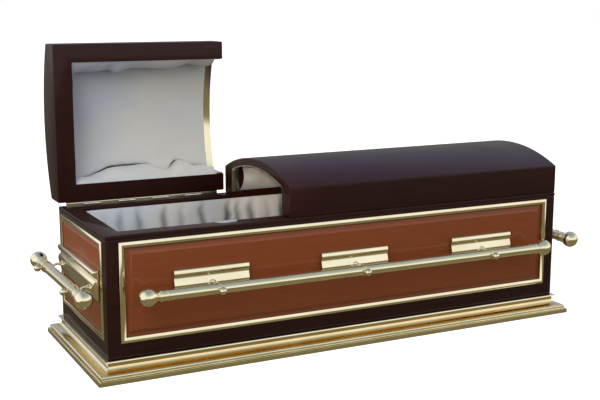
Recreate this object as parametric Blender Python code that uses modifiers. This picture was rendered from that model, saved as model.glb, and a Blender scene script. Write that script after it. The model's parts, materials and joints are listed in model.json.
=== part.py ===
"""A half-couch funeral casket: a long panelled box on a stepped brass plinth, with a domed lid in two
leaves on piano hinges, padded linings and a brass bar handle on each side. The head leaf stands open.

Metres. +X runs to the foot, +Y to the hinged back, +Z up. The origin is on the ground under the
middle of the whole casket as it stands, with its handles and its open lid. Below, the pieces are
placed about the middle of the box, and one empty carries them all to their place.
"""

import math

import bmesh
import bpy
from mathutils import Matrix, Vector

# Clearance between pieces that rest on or in each other, how far a cutter runs past what it cuts,
# and how near two corners are when they are welded into one
FIT = 0.0003
OVERCUT = 0.018
WELD = 0.00001

# The box
BODY_LENGTH = 2.020
BODY_WIDTH = 0.638
BODY_HEIGHT = 0.459
WALL = 0.030
FLOOR = 0.020
RIM_WIDTH = 0.072
RIM_THICKNESS = 0.014
EDGE_ROUND = 0.003
LINING_SETBACK = 0.003
LINING_FLOOR = 0.030

# The plinth moulding under the box
PLINTH_HEIGHT = 0.077
PLINTH_FOOT_REACH = 0.053
PLINTH_FOOT_HEIGHT = 0.018
PLINTH_QUIRK = 0.002
PLINTH_NOSE_REACH = 0.045
PLINTH_NOSE_HEIGHT = 0.015
PLINTH_NOSE_SETBACK = 0.001
PLINTH_COVE_REACH = 0.004
PLINTH_FILLET = 0.006
PLINTH_LIP_REACH = 0.0165
PLINTH_LIP_THICKNESS = 0.005
PLINTH_LEDGE = 0.070
COVE_STEPS = 6
COVE_SQUARENESS = 0.7

# The framed panels let into the four faces
SIDE_FRAME_MARGIN = 0.048
SIDE_FRAME_FOOT = 0.0585
END_FRAME_MARGIN = 0.038
END_FRAME_FOOT = 0.064
FRAME_HEAD = 0.0255
FRAME_WIDTH = 0.020
FRAME_PROUD = 0.009
FRAME_BEAD_RADIUS = 0.006
FRAME_BEAD_TURN = 125
FRAME_COVE_REACH = 0.0136
FRAME_COVE_HEIGHT = 0.0035
FRAME_LIP_REACH = 0.0172
FRAME_LIP_HEIGHT = 0.002
POCKET_DEPTH = 0.008
PANEL_SETBACK = 0.002
SIDE_FIELD_PROUD = 0.005
SIDE_FIELD_BEVEL = 0.022
END_FIELD_PROUD = 0.003
END_FIELD_BEVEL = 0.010
PANEL_ROUND = 0.002

# The two leaves of the lid
LID_WALL_HEIGHT = 0.1165
DOME_RISE = 0.069
DOME_THICKNESS = 0.031
LID_SIDE = 0.072
LID_END = 0.075
LID_FILLET = 0.020
HEAD_LID_LENGTH = 0.726
LID_PARTING = 0.0055
DOME_STEPS = 20
FILLET_STEPS = 3
LID_LINING = 0.012
LID_LINING_START = 0.033
TRIM_WIDTH = 0.034
TRIM_THICKNESS = 0.003
TRIM_START = 0.014
HEAD_LID_OPEN = 90.0

# The piano hinges on the back
HINGE_OFFSET = 0.0050
HINGE_RISE = 0.0060
BARREL_RADIUS = 0.0045
BORE_RADIUS = 0.0025
PIN_RADIUS = 0.0022
LEAF_THICKNESS = 0.0014
LEAF_HEIGHT = 0.022
KNUCKLE = 0.0734
KNUCKLE_GAP = 0.0006
HINGE_INSET = 0.020
BARREL_SIDES = 8

# The bar handles
BAR_HEIGHT = 0.320
BAR_OFFSET = 0.087
BAR_RADIUS = 0.0205
BAR_SIDES = 16
BAR_SINK = 0.002
BALL_RADIUS = 0.0345
NECK_PLACE = 0.038
NECK_RADIUS = 0.0165
COLLAR_RADIUS = 0.0225
COLLAR_EDGE = 0.0015
COLLAR_LENGTH = 0.034
TIP_SIDES = 14
BALL_STEPS = 7
RING_RADIUS = 0.0240
RING_WIDTH = 0.012
ARM_RADIUS = 0.0050
ARM_ARCH = 0.006
STEM_ROOT = 0.004
STEM_STEPS = 5
NECK_SIDES = 8
CAP_RADIUS = 0.0145
CAP_REACH = 0.037
CAP_SIDES = 10
CAP_ROWS = 7
PIVOT_RADIUS = 0.0055
PIVOT_LENGTH = 0.040
PIVOT_SIDES = 10
SIDE_TIP_INSET = 0.125
SIDE_ARM_INSET = 0.2745
SIDE_ARM_COUNT = 3
SIDE_LUG_WIDTH = 0.300
END_TIP_REACH = 0.011
END_ARM_INSET = 0.053
END_ARM_COUNT = 2
END_LUG_SIDE_GAP = 0.012

# Lug sections and pivots, as reach out of the panel and height above the bar's axis
SIDE_LUG_SECTION = [
    (0.000, 0.001), (0.004, 0.001), (0.012, 0.006), (0.0195, 0.011), (0.0205, 0.0135),
    (0.011, 0.036), (0.0105, 0.042), (0.013, 0.047), (0.0172, 0.053), (0.0178, 0.060),
    (0.0165, 0.066), (0.0125, 0.069), (0.000, 0.069),
]
SIDE_PIVOT = (0.0195, 0.0065)
END_LUG_SECTION = [
    (0.000, -0.036), (0.011, -0.036), (0.016, -0.018), (0.021, 0.002), (0.0255, 0.020),
    (0.0262, 0.028), (0.023, 0.035), (0.016, 0.0405), (0.0095, 0.043), (0.012, 0.047),
    (0.017, 0.051), (0.021, 0.057), (0.0225, 0.062), (0.025, 0.067), (0.0235, 0.073),
    (0.018, 0.076), (0.000, 0.076),
]
END_PIVOT = (0.0245, 0.005)

# Values worked out from those above
HALF_LENGTH = BODY_LENGTH / 2
HALF_WIDTH = BODY_WIDTH / 2
BODY_TOP = PLINTH_HEIGHT + BODY_HEIGHT
SHELL_BOTTOM = PLINTH_HEIGHT + FIT
SHELL_TOP = BODY_TOP - RIM_THICKNESS - FIT
LID_BOTTOM = BODY_TOP + FIT
HINGE_Y = HALF_WIDTH + HINGE_OFFSET
HINGE_Z = BODY_TOP + HINGE_RISE
HEAD_LID_END = -HALF_LENGTH + HEAD_LID_LENGTH
FOOT_LID_START = HEAD_LID_END + LID_PARTING
SIDE_BAR_HALF = HALF_LENGTH - SIDE_TIP_INSET
SIDE_ARM_SPACING = 2 * (SIDE_BAR_HALF - SIDE_ARM_INSET) / (SIDE_ARM_COUNT - 1)
END_BAR_HALF = HALF_WIDTH + END_TIP_REACH
END_LUG_WIDTH = 2 * (HALF_WIDTH - END_FRAME_MARGIN - FRAME_WIDTH - END_LUG_SIDE_GAP)
END_ARM_SPACING = (END_LUG_WIDTH - 2 * END_ARM_INSET) / (END_ARM_COUNT - 1)
BOX_Y = (BAR_OFFSET + CAP_REACH + CAP_RADIUS - LID_WALL_HEIGHT - DOME_RISE) / 2

COLOURS = {
    "dark_wood": ((0.045, 0.016, 0.012), 0.28, 0.0),
    "tan_panel": ((0.250, 0.072, 0.028), 0.38, 0.0),
    "brass": ((0.80, 0.68, 0.40), 0.18, 1.0),
    "satin_lining": ((0.72, 0.73, 0.76), 0.55, 0.0),
}

part_group = None
cutter_group = None
materials = {}
shared = {}


def start_scene():
    """Empties the scene and makes the two collections and the materials."""
    global part_group, cutter_group
    for old in list(bpy.data.objects):
        bpy.data.objects.remove(old)
    part_group = bpy.data.collections.new("casket")
    cutter_group = bpy.data.collections.new("cutters")
    bpy.context.scene.collection.children.link(part_group)
    bpy.context.scene.collection.children.link(cutter_group)
    for name, (colour, roughness, metallic) in COLOURS.items():
        material = bpy.data.materials.new(name)
        material.use_nodes = True
        shader = material.node_tree.nodes["Principled BSDF"]
        shader.inputs["Base Color"].default_value = (*colour, 1)
        shader.inputs["Roughness"].default_value = roughness
        shader.inputs["Metallic"].default_value = metallic
        materials[name] = material


def add_object(name, data, material=None, parent=None, matrix=None):
    """Links an object for this data into the casket's collection."""
    thing = bpy.data.objects.new(name, data)
    part_group.objects.link(thing)
    if matrix is not None:
        thing.matrix_world = matrix
    if parent is not None:
        thing.parent = parent
        thing.matrix_parent_inverse = Matrix.Identity(4)
    if material is not None:
        data.materials.clear()
        data.materials.append(materials[material])
    return thing


def as_cutter(thing):
    """Moves an object to the cutters, where the build leaves it out."""
    part_group.objects.unlink(thing)
    cutter_group.objects.link(thing)
    thing.hide_render = True
    thing.display_type = "WIRE"
    return thing


def combine(thing, other, operation):
    """Adds a Boolean of the other object, which becomes a cutter."""
    if other.name in part_group.objects:
        as_cutter(other)
    step = thing.modifiers.new(operation.lower(), "BOOLEAN")
    step.operation = operation
    step.object = other
    step.solver = "EXACT"


def soften(thing, width=EDGE_ROUND, segments=2):
    """Rounds the sharp edges of an object."""
    step = thing.modifiers.new("soft_edges", "BEVEL")
    step.width = width
    step.segments = segments
    step.limit_method = "ANGLE"
    step.angle_limit = math.radians(40)


def smooth(data, angle=35):
    """Shades a mesh smooth, with edges sharper than the angle left sharp."""
    data.shade_smooth()
    data.set_sharp_from_angle(angle=math.radians(angle))


def settled_mesh(thing, name):
    """The object's evaluated mesh, welded, with the object itself removed."""
    bpy.context.view_layer.update()
    shape = thing.evaluated_get(bpy.context.evaluated_depsgraph_get())
    data = bpy.data.meshes.new_from_object(shape)
    data.name = name
    data.transform(thing.matrix_world)
    work = bmesh.new()
    work.from_mesh(data)
    bmesh.ops.remove_doubles(work, verts=work.verts, dist=WELD)
    bmesh.ops.recalc_face_normals(work, faces=work.faces)
    work.to_mesh(data)
    work.free()
    bpy.data.objects.remove(thing)
    return data


def box_mesh(name, low, high):
    """A box between two corners."""
    low, high = Vector(low), Vector(high)
    size = high - low
    work = bmesh.new()
    bmesh.ops.create_cube(work, size=1)
    bmesh.ops.scale(work, vec=size, verts=work.verts)
    bmesh.ops.translate(work, vec=(low + high) / 2, verts=work.verts)
    data = bpy.data.meshes.new(name)
    work.to_mesh(data)
    work.free()
    return data


def rod_mesh(name, radius, start, end, sides):
    """A solid cylinder between two points."""
    start, end = Vector(start), Vector(end)
    axis = end - start
    turn = axis.to_track_quat("Z", "Y").to_matrix().to_4x4()
    work = bmesh.new()
    bmesh.ops.create_cone(
        work, cap_ends=True, segments=sides, radius1=radius, radius2=radius, depth=axis.length,
        matrix=Matrix.Translation((start + end) / 2) @ turn,
    )
    data = bpy.data.meshes.new(name)
    work.to_mesh(data)
    work.free()
    smooth(data)
    return data


def ball_mesh(name, radius, centre, sides, rows):
    """A ball whose poles lie on Z."""
    work = bmesh.new()
    bmesh.ops.create_uvsphere(
        work, u_segments=sides, v_segments=rows, radius=radius, matrix=Matrix.Translation(centre)
    )
    data = bpy.data.meshes.new(name)
    work.to_mesh(data)
    work.free()
    return data


def prism_mesh(name, outline, start, end):
    """A flat outline of (y, z) points, carried along X from start to end."""
    flat = bpy.data.curves.new(name, "CURVE")
    flat.dimensions = "2D"
    flat.fill_mode = "BOTH"
    flat.extrude = (end - start) / 2
    line = flat.splines.new("POLY")
    line.points.add(len(outline) - 1)
    for point, (y, z) in zip(line.points, outline):
        point.co = (y, z, 0, 1)
    line.use_cyclic_u = True
    along_x = Matrix(((0, 0, 1, (start + end) / 2), (1, 0, 0, 0), (0, 1, 0, 0), (0, 0, 0, 1)))
    thing = add_object(name, flat, matrix=along_x)
    return settled_mesh(thing, name)


def ordered(pulled, verts):
    """The newly extruded vertices, in the order of those that they were pulled from."""
    partner = {}
    for vert in pulled:
        for edge in vert.link_edges:
            other = edge.other_vert(vert)
            if other in verts:
                partner[other] = vert
    return [partner[vert] for vert in verts]


def frame_mesh(name, half_u, half_v, section):
    """A mitred frame round a rectangle in the XY plane.

    The section is a closed list of (offset, height): offset grows outward from the rectangle.
    """
    corners = ((-1, -1), (1, -1), (1, 1), (-1, 1), (-1, -1))
    rings = [[(a * (half_u + o), b * (half_v + o), h) for o, h in section] for a, b in corners]
    work = bmesh.new()
    verts = [work.verts.new(place) for place in rings[0]]
    edges = [work.edges.new((verts[i - 1], verts[i])) for i in range(len(verts))]
    for ring in rings[1:]:
        pulled = bmesh.ops.extrude_edge_only(work, edges=edges)["geom"]
        edges = [item for item in pulled if isinstance(item, bmesh.types.BMEdge)]
        moved = [item for item in pulled if isinstance(item, bmesh.types.BMVert)]
        places = {vert: ring[index] for index, vert in enumerate(ordered(moved, verts))}
        for vert, place in places.items():
            vert.co = place
        verts = list(places)
    bmesh.ops.remove_doubles(work, verts=work.verts, dist=WELD)
    bmesh.ops.recalc_face_normals(work, faces=work.faces)
    data = bpy.data.meshes.new(name)
    work.to_mesh(data)
    work.free()
    smooth(data, 30)
    return data


def turned_mesh(name, profile, sides):
    """A turned solid about Z from (radius, z) points that run down its outer side."""
    data = bpy.data.meshes.new(name)
    data.from_pydata([(r, 0, z) for r, z in profile], [(i, i + 1) for i in range(len(profile) - 1)], [])
    thing = add_object(name, data)
    turn = thing.modifiers.new("turn", "SCREW")
    turn.steps = turn.render_steps = sides
    turn.use_merge_vertices = True
    turn.merge_threshold = WELD
    result = settled_mesh(thing, name)
    smooth(result)
    return result


def arc(centre, radius, start, end, steps):
    """Points on a circle from one angle to another, in degrees."""
    turns = [math.radians(start + (end - start) * i / steps) for i in range(steps + 1)]
    return [(centre[0] + radius * math.cos(t), centre[1] + radius * math.sin(t)) for t in turns]


def face_matrix(side, centre_z):
    """Places a face's own frame: X along the face, Y up and Z out of the box, for one of its four sides."""
    out = {"front": (0, -1), "back": (0, 1), "head_end": (-1, 0), "foot_end": (1, 0)}[side]
    reach = HALF_LENGTH if out[0] else HALF_WIDTH
    normal = Vector((*out, 0))
    up = Vector((0, 0, 1))
    along = up.cross(normal)
    matrix = Matrix((along, up, normal)).transposed().to_4x4()
    matrix.translation = normal * reach + up * centre_z
    return matrix


def frame_size(side):
    """Half width, half height and middle height of the framed panel on one side."""
    if side in ("front", "back"):
        half, foot = HALF_LENGTH - SIDE_FRAME_MARGIN, SIDE_FRAME_FOOT
    else:
        half, foot = HALF_WIDTH - END_FRAME_MARGIN, END_FRAME_FOOT
    low, high = PLINTH_HEIGHT + foot, BODY_TOP - FRAME_HEAD
    return half, (high - low) / 2, (high + low) / 2


def field_proud(side):
    """How far the panel's field stands out of the box's face."""
    return SIDE_FIELD_PROUD if side in ("front", "back") else END_FIELD_PROUD


SIDES = ("front", "back", "head_end", "foot_end")


def make_plinth():
    """A stepped brass moulding: foot, nose, cove and a thin lip round the bottom of the box."""
    nose_low = PLINTH_FOOT_HEIGHT + PLINTH_QUIRK
    nose_high = nose_low + PLINTH_NOSE_HEIGHT
    nose_centre = (PLINTH_NOSE_REACH - PLINTH_NOSE_HEIGHT / 2, (nose_low + nose_high) / 2)
    nose = arc(nose_centre, PLINTH_NOSE_HEIGHT / 2, -90, 90, 4)
    lip_low = PLINTH_HEIGHT - PLINTH_LIP_THICKNESS
    cove_top = (PLINTH_COVE_REACH, lip_low - PLINTH_FILLET)
    cove_low = (nose_centre[0] - PLINTH_NOSE_SETBACK, nose_high)
    width, height = cove_low[0] - cove_top[0], cove_top[1] - cove_low[1]
    cove = []
    for i in range(1, COVE_STEPS + 1):
        turn = math.radians(90 * i / COVE_STEPS)
        inward, upward = math.sin(turn) ** COVE_SQUARENESS, 1 - math.cos(turn) ** COVE_SQUARENESS
        cove.append((cove_low[0] - width * inward, cove_low[1] + height * upward))
    section = [(-PLINTH_LEDGE, 0), (PLINTH_FOOT_REACH, 0), (PLINTH_FOOT_REACH, PLINTH_FOOT_HEIGHT)]
    section += [(nose_centre[0], PLINTH_FOOT_HEIGHT)]
    section += nose[1:] + cove
    section += [(cove_top[0], lip_low), (PLINTH_LIP_REACH, lip_low), (PLINTH_LIP_REACH, PLINTH_HEIGHT)]
    section += [(-PLINTH_LEDGE, PLINTH_HEIGHT)]
    add_object("plinth_moulding", frame_mesh("plinth_moulding", HALF_LENGTH, HALF_WIDTH, section), "brass")


def make_shell():
    """The open wooden box, with a shallow pocket for the framed panel in each face."""
    shell = add_object(
        "body_shell",
        box_mesh(
            "body_shell",
            (-HALF_LENGTH, -HALF_WIDTH, SHELL_BOTTOM),
            (HALF_LENGTH, HALF_WIDTH, SHELL_TOP),
        ),
        "dark_wood",
    )
    soften(shell, segments=1)
    inside = box_mesh(
        "inside",
        (-HALF_LENGTH + WALL, -HALF_WIDTH + WALL, SHELL_BOTTOM + FLOOR),
        (HALF_LENGTH - WALL, HALF_WIDTH - WALL, SHELL_TOP + OVERCUT),
    )
    combine(shell, add_object("inside_cutter", inside), "DIFFERENCE")
    for side in SIDES:
        half_u, half_v, middle = frame_size(side)
        pocket = box_mesh(
            "pocket", (-half_u - FIT, -half_v - FIT, -POCKET_DEPTH), (half_u + FIT, half_v + FIT, OVERCUT)
        )
        cutter = add_object(f"{side}_pocket_cutter", pocket, matrix=face_matrix(side, middle))
        combine(shell, cutter, "DIFFERENCE")


def make_rim():
    """The flat wooden ledge round the mouth of the box."""
    low, high = BODY_TOP - RIM_THICKNESS, BODY_TOP
    section = [(-RIM_WIDTH, low), (0, low)]
    section += arc((-EDGE_ROUND, high - EDGE_ROUND), EDGE_ROUND, 0, 90, 2)
    section += [(-RIM_WIDTH + EDGE_ROUND, high), (-RIM_WIDTH, high - EDGE_ROUND)]
    add_object("body_rim", frame_mesh("body_rim", HALF_LENGTH, HALF_WIDTH, section), "dark_wood")


def make_body_lining():
    """The padded satin tub that fills the space between the walls and the rim's inner edge."""
    gap_x, gap_y = HALF_LENGTH - WALL - FIT, HALF_WIDTH - WALL - FIT
    bottom = SHELL_BOTTOM + FLOOR + FIT
    lining = add_object(
        "body_lining",
        box_mesh("body_lining", (-gap_x, -gap_y, bottom), (gap_x, gap_y, SHELL_TOP)),
        "satin_lining",
    )
    inner_x = HALF_LENGTH - RIM_WIDTH + LINING_SETBACK
    inner_y = HALF_WIDTH - RIM_WIDTH + LINING_SETBACK
    hollow = box_mesh(
        "hollow", (-inner_x, -inner_y, bottom + LINING_FLOOR), (inner_x, inner_y, SHELL_TOP + OVERCUT)
    )
    combine(lining, add_object("lining_cutter", hollow), "DIFFERENCE")


def make_panel(side):
    """A raised panel whose field is bevelled down to its frame."""
    half_u, half_v, middle = frame_size(side)
    reach_u, reach_v = half_u - FRAME_WIDTH - FIT, half_v - FRAME_WIDTH - FIT
    data = box_mesh("panel", (-reach_u, -reach_v, FIT - POCKET_DEPTH), (reach_u, reach_v, -PANEL_SETBACK))
    bevel = SIDE_FIELD_BEVEL if side in ("front", "back") else END_FIELD_BEVEL
    rise = field_proud(side) + PANEL_SETBACK
    work = bmesh.new()
    work.from_mesh(data)
    top = [face for face in work.faces if face.normal.z > 0.9]
    bmesh.ops.inset_region(work, faces=top, thickness=bevel, use_even_offset=True)
    bmesh.ops.translate(work, vec=(0, 0, rise), verts=top[0].verts)
    work.to_mesh(data)
    work.free()
    panel = add_object(f"{side}_panel", data, "tan_panel", matrix=face_matrix(side, middle))
    soften(panel, PANEL_ROUND, 1)


def make_frame(side):
    """The brass moulding that frames a panel: a round bead outside and a cove inside."""
    half_u, half_v, middle = frame_size(side)
    radius = FRAME_BEAD_RADIUS
    section = [(-FRAME_WIDTH, FIT - POCKET_DEPTH), (0, FIT - POCKET_DEPTH)]
    section += arc((-radius, FRAME_PROUD - radius), radius, 0, FRAME_BEAD_TURN, 5)
    section += [(-FRAME_COVE_REACH, FRAME_COVE_HEIGHT), (-FRAME_LIP_REACH, FRAME_LIP_HEIGHT)]
    section += [(-FRAME_WIDTH, FRAME_LIP_HEIGHT)]
    data = frame_mesh(f"{side}_frame", half_u, half_v, section)
    add_object(f"{side}_frame", data, "brass", matrix=face_matrix(side, middle))


def dome_outline(inset_side, inset_top, low, fillet):
    """The lid's section at one depth inside its outer face, as (y, z) points from front to back.

    z counts from the lid's underside. A fillet rounds the corner between wall and dome.
    """
    radius = (HALF_WIDTH**2 + DOME_RISE**2) / (2 * DOME_RISE)
    centre_z = LID_WALL_HEIGHT + DOME_RISE - radius
    reach, radius = HALF_WIDTH - inset_side, radius - inset_top
    if fillet:
        across = reach - fillet
        up = math.sqrt((radius - fillet) ** 2 - across**2)
        meet = math.degrees(math.atan2(up, across))
        corner = arc((across, centre_z + up), fillet, 0, meet, FILLET_STEPS)
    else:
        meet = math.degrees(math.acos(reach / radius))
        corner = [(reach, centre_z + math.sqrt(radius**2 - reach**2))]
    half_dome = arc((0, centre_z), radius, meet, 90, DOME_STEPS // 2)
    right = [(reach, low)] + corner + half_dome[1:]
    left = [(-y, z) for y, z in reversed(right[:-1])]
    return [(y, z) for y, z in reversed(right + left)]


def lid_span(which):
    """Where a leaf starts and ends along X, and whether its closed end is the low one."""
    if which == "head":
        return -HALF_LENGTH, HEAD_LID_END, True
    return FOOT_LID_START, HALF_LENGTH, False


def make_lid(which):
    """One leaf of the lid with its trim, lining and hinge leaf, hung from an empty on the hinge's axis."""
    start, end, closed_low = lid_span(which)
    hinge = bpy.data.objects.new(f"{which}_lid_hinge", None)
    part_group.objects.link(hinge)
    hinge.location = (0, HINGE_Y, HINGE_Z)
    if which == "head":
        hinge.rotation_euler.x = -math.radians(HEAD_LID_OPEN)
    bpy.context.view_layer.update()
    from_hinge = Matrix.Translation((0, -HINGE_Y, LID_BOTTOM - HINGE_Z))

    shell_data = prism_mesh("lid_shell", dome_outline(0, 0, 0, 0), start, end)
    inner = dome_outline(LID_SIDE, DOME_THICKNESS, -DOME_THICKNESS, LID_FILLET)
    hollow_start = start + LID_END if closed_low else start - OVERCUT
    hollow_end = end + OVERCUT if closed_low else end - LID_END
    hollow_data = prism_mesh("lid_hollow", inner, hollow_start, hollow_end)
    shell = add_object(f"{which}_lid_shell", shell_data, "dark_wood", hinge, from_hinge)
    soften(shell)
    hollow = add_object(f"{which}_lid_cutter", hollow_data, None, hinge, from_hinge)
    combine(shell, hollow, "DIFFERENCE")

    trim_outer = dome_outline(LID_SIDE + FIT, DOME_THICKNESS + FIT, TRIM_START, LID_FILLET)
    depth = FIT + TRIM_THICKNESS
    trim_fillet = LID_FILLET - TRIM_THICKNESS
    trim_inner = dome_outline(LID_SIDE + depth, DOME_THICKNESS + depth, TRIM_START, trim_fillet)
    trim_start = end - TRIM_WIDTH - FIT if closed_low else start + FIT
    trim_outline = trim_outer + list(reversed(trim_inner))
    trim_data = prism_mesh("trim", trim_outline, trim_start, trim_start + TRIM_WIDTH)
    add_object(f"{which}_lid_trim", trim_data, "brass", hinge, from_hinge)

    lining_start = start + LID_END + FIT if closed_low else trim_start + TRIM_WIDTH + FIT
    lining_end = trim_start - FIT if closed_low else end - LID_END - FIT
    lining_outer = dome_outline(LID_SIDE + FIT, DOME_THICKNESS + FIT, LID_LINING_START, LID_FILLET)
    lining_data = prism_mesh("lid_lining", lining_outer, lining_start, lining_end)
    lining = add_object(f"{which}_lid_lining", lining_data, "satin_lining", hinge, from_hinge)
    pad = FIT + LID_LINING
    space_outline = dome_outline(LID_SIDE + pad, DOME_THICKNESS + pad, 0, LID_FILLET - LID_LINING)
    space_start = lining_start + LID_LINING if closed_low else lining_start - OVERCUT
    space_end = lining_end + OVERCUT if closed_low else lining_end - LID_LINING
    space_data = prism_mesh("space", space_outline, space_start, space_end)
    space = add_object(f"{which}_lining_cutter", space_data, None, hinge, from_hinge)
    combine(lining, space, "DIFFERENCE")
    make_hinge(which, hinge)


def leaf_mesh(name, start, count, up, keeps_even):
    """A hinge leaf with its half of the knuckles, about the hinge's axis, standing up or hanging down."""
    bore = list(reversed(arc((0, 0), BORE_RADIUS, 0, 360 - 360 / BARREL_SIDES, BARREL_SIDES - 1)))
    barrel = rod_mesh(name, BARREL_RADIUS, (start, 0, 0), (start + count * KNUCKLE, 0, 0), BARREL_SIDES)
    leaf = add_object(name, barrel)
    front = -HINGE_OFFSET + FIT
    far = LEAF_HEIGHT + (HINGE_RISE if not up else -HINGE_RISE)
    low, high = (0, far) if up else (-far, 0)
    plate = box_mesh("plate", (start, front, low), (start + count * KNUCKLE, front + LEAF_THICKNESS, high))
    combine(leaf, add_object("plate_piece", plate), "UNION")
    hole = prism_mesh("hole", bore, start - KNUCKLE, start + (count + 1) * KNUCKLE)
    combine(leaf, add_object("bore_cutter", hole), "DIFFERENCE")
    clear = BARREL_RADIUS + KNUCKLE_GAP
    notches = bmesh.new()
    for index in range(count):
        if (index % 2 == 0) == keeps_even:
            continue
        low_x = start + index * KNUCKLE - KNUCKLE_GAP / 2
        high_x = low_x + KNUCKLE + KNUCKLE_GAP
        if index == 0:
            low_x -= KNUCKLE / 2
        if index == count - 1:
            high_x += KNUCKLE / 2
        size = Vector((high_x - low_x, 2 * clear + HINGE_OFFSET, 2 * clear))
        place = Matrix.Translation(((low_x + high_x) / 2, 0, 0)) @ Matrix.Diagonal((*size, 1))
        bmesh.ops.create_cube(notches, size=1, matrix=place)
    notch_data = bpy.data.meshes.new("notches")
    notches.to_mesh(notch_data)
    notches.free()
    combine(leaf, add_object("notch_cutter", notch_data), "DIFFERENCE")
    used = [step.object for step in leaf.modifiers]
    data = settled_mesh(leaf, name)
    for other in used:
        bpy.data.objects.remove(other)
    return data


def make_hinge(which, hinge):
    """The piano hinge of one leaf: a leaf on the box, a leaf on the lid and the pin."""
    start, end, _ = lid_span(which)
    count = int((end - start - 2 * HINGE_INSET) / KNUCKLE)
    count -= 1 - count % 2
    first = (start + end) / 2 - count * KNUCKLE / 2
    on_body = leaf_mesh(f"{which}_hinge_body_leaf", first, count, False, True)
    place = Matrix.Translation((0, HINGE_Y, HINGE_Z))
    add_object(f"{which}_hinge_body_leaf", on_body, "brass", matrix=place)
    on_lid = leaf_mesh(f"{which}_hinge_lid_leaf", first, count, True, False)
    add_object(f"{which}_hinge_lid_leaf", on_lid, "brass", hinge, Matrix.Identity(4))
    pin = rod_mesh("pin", PIN_RADIUS, (first, 0, 0), (first + count * KNUCKLE, 0, 0), BARREL_SIDES)
    add_object(f"{which}_hinge_pin", pin, "brass", matrix=place)


def tip_length():
    """From the middle of a tip's ball to its face on the bar."""
    return NECK_PLACE + COLLAR_EDGE + COLLAR_LENGTH


def tip_mesh():
    """The turned end of a bar about its ball's middle: the ball, drawn in to a neck, and a collar."""
    reach = math.hypot(NECK_RADIUS, NECK_PLACE)
    touch = math.degrees(math.atan2(-NECK_PLACE, NECK_RADIUS) + math.acos(BALL_RADIUS / reach))
    profile = arc((0, 0), BALL_RADIUS, 90, touch, BALL_STEPS)
    profile[0] = (0.0, BALL_RADIUS)
    profile += [(NECK_RADIUS, -NECK_PLACE), (COLLAR_RADIUS, -NECK_PLACE - COLLAR_EDGE)]
    profile += [(COLLAR_RADIUS, -tip_length()), (0.0, -tip_length())]
    return turned_mesh("bar_tip", profile, TIP_SIDES)


def arm_mesh(name, span, pivot_height):
    """One arm: a ring about the bar, a bowed stem back to its pivot and a ball cap in front.

    The bar runs along X through the origin, Y points away from the box.
    """
    half = RING_WIDTH / 2
    arm = add_object(name, rod_mesh(name, RING_RADIUS, (-half, 0, 0), (half, 0, 0), BAR_SIDES))
    stem = bpy.data.curves.new("stem", "CURVE")
    stem.dimensions = "3D"
    stem.bevel_depth = ARM_RADIUS
    stem.bevel_resolution = 1
    stem.use_fill_caps = True
    line = stem.splines.new("POLY")
    line.points.add(STEM_STEPS + 1)
    line.points[0].co = (0, -span, pivot_height, 1)
    root = span - STEM_ROOT
    sunk = BAR_RADIUS - BAR_SINK
    for i, point in enumerate(line.points[1:]):
        share = i / STEM_STEPS
        rise = pivot_height * (1 - share) + ARM_ARCH * math.sin(math.pi * share)
        point.co = (0, -root * (1 - share) - sunk * share, rise, 1)
    stem_data = settled_mesh(add_object("stem", stem), "stem")
    combine(arm, add_object("stem_piece", stem_data), "UNION")
    neck = rod_mesh("neck", ARM_RADIUS, (0, sunk, 0), (0, CAP_REACH, 0), NECK_SIDES)
    combine(arm, add_object("neck_piece", neck), "UNION")
    cap = ball_mesh("cap", CAP_RADIUS, (0, CAP_REACH, 0), CAP_SIDES, CAP_ROWS)
    combine(arm, add_object("cap_piece", cap), "UNION")
    bore = rod_mesh("bore", BAR_RADIUS + FIT, (-RING_WIDTH, 0, 0), (RING_WIDTH, 0, 0), BAR_SIDES)
    combine(arm, add_object("bore_piece", bore), "DIFFERENCE")
    used = [step.object for step in arm.modifiers]
    data = settled_mesh(arm, name)
    for other in used:
        bpy.data.objects.remove(other)
    smooth(data, 40)
    return data


def lug_mesh(name, width, section, pivot, places):
    """A lug: its section carried along X, with a pivot pin for each arm. Y points out of the panel."""
    lug = add_object(name, prism_mesh(name, section, -width / 2, width / 2))
    for place in places:
        start, end = place - PIVOT_LENGTH / 2, place + PIVOT_LENGTH / 2
        pin = rod_mesh("pivot", PIVOT_RADIUS, (start, *pivot), (end, *pivot), PIVOT_SIDES)
        combine(lug, add_object("pivot_piece", pin), "UNION")
    used = [step.object for step in lug.modifiers]
    data = settled_mesh(lug, name)
    for other in used:
        bpy.data.objects.remove(other)
    smooth(data, 28)
    return data


def handle_matrix(side, along, out):
    """Places a handle piece: X along the face, Y out of the box, Z up, at the bar's height."""
    turn = Matrix(((-1, 0, 0, along), (0, 0, 1, 0), (0, 1, 0, out), (0, 0, 0, 1)))
    return face_matrix(side, BAR_HEIGHT) @ turn


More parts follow.
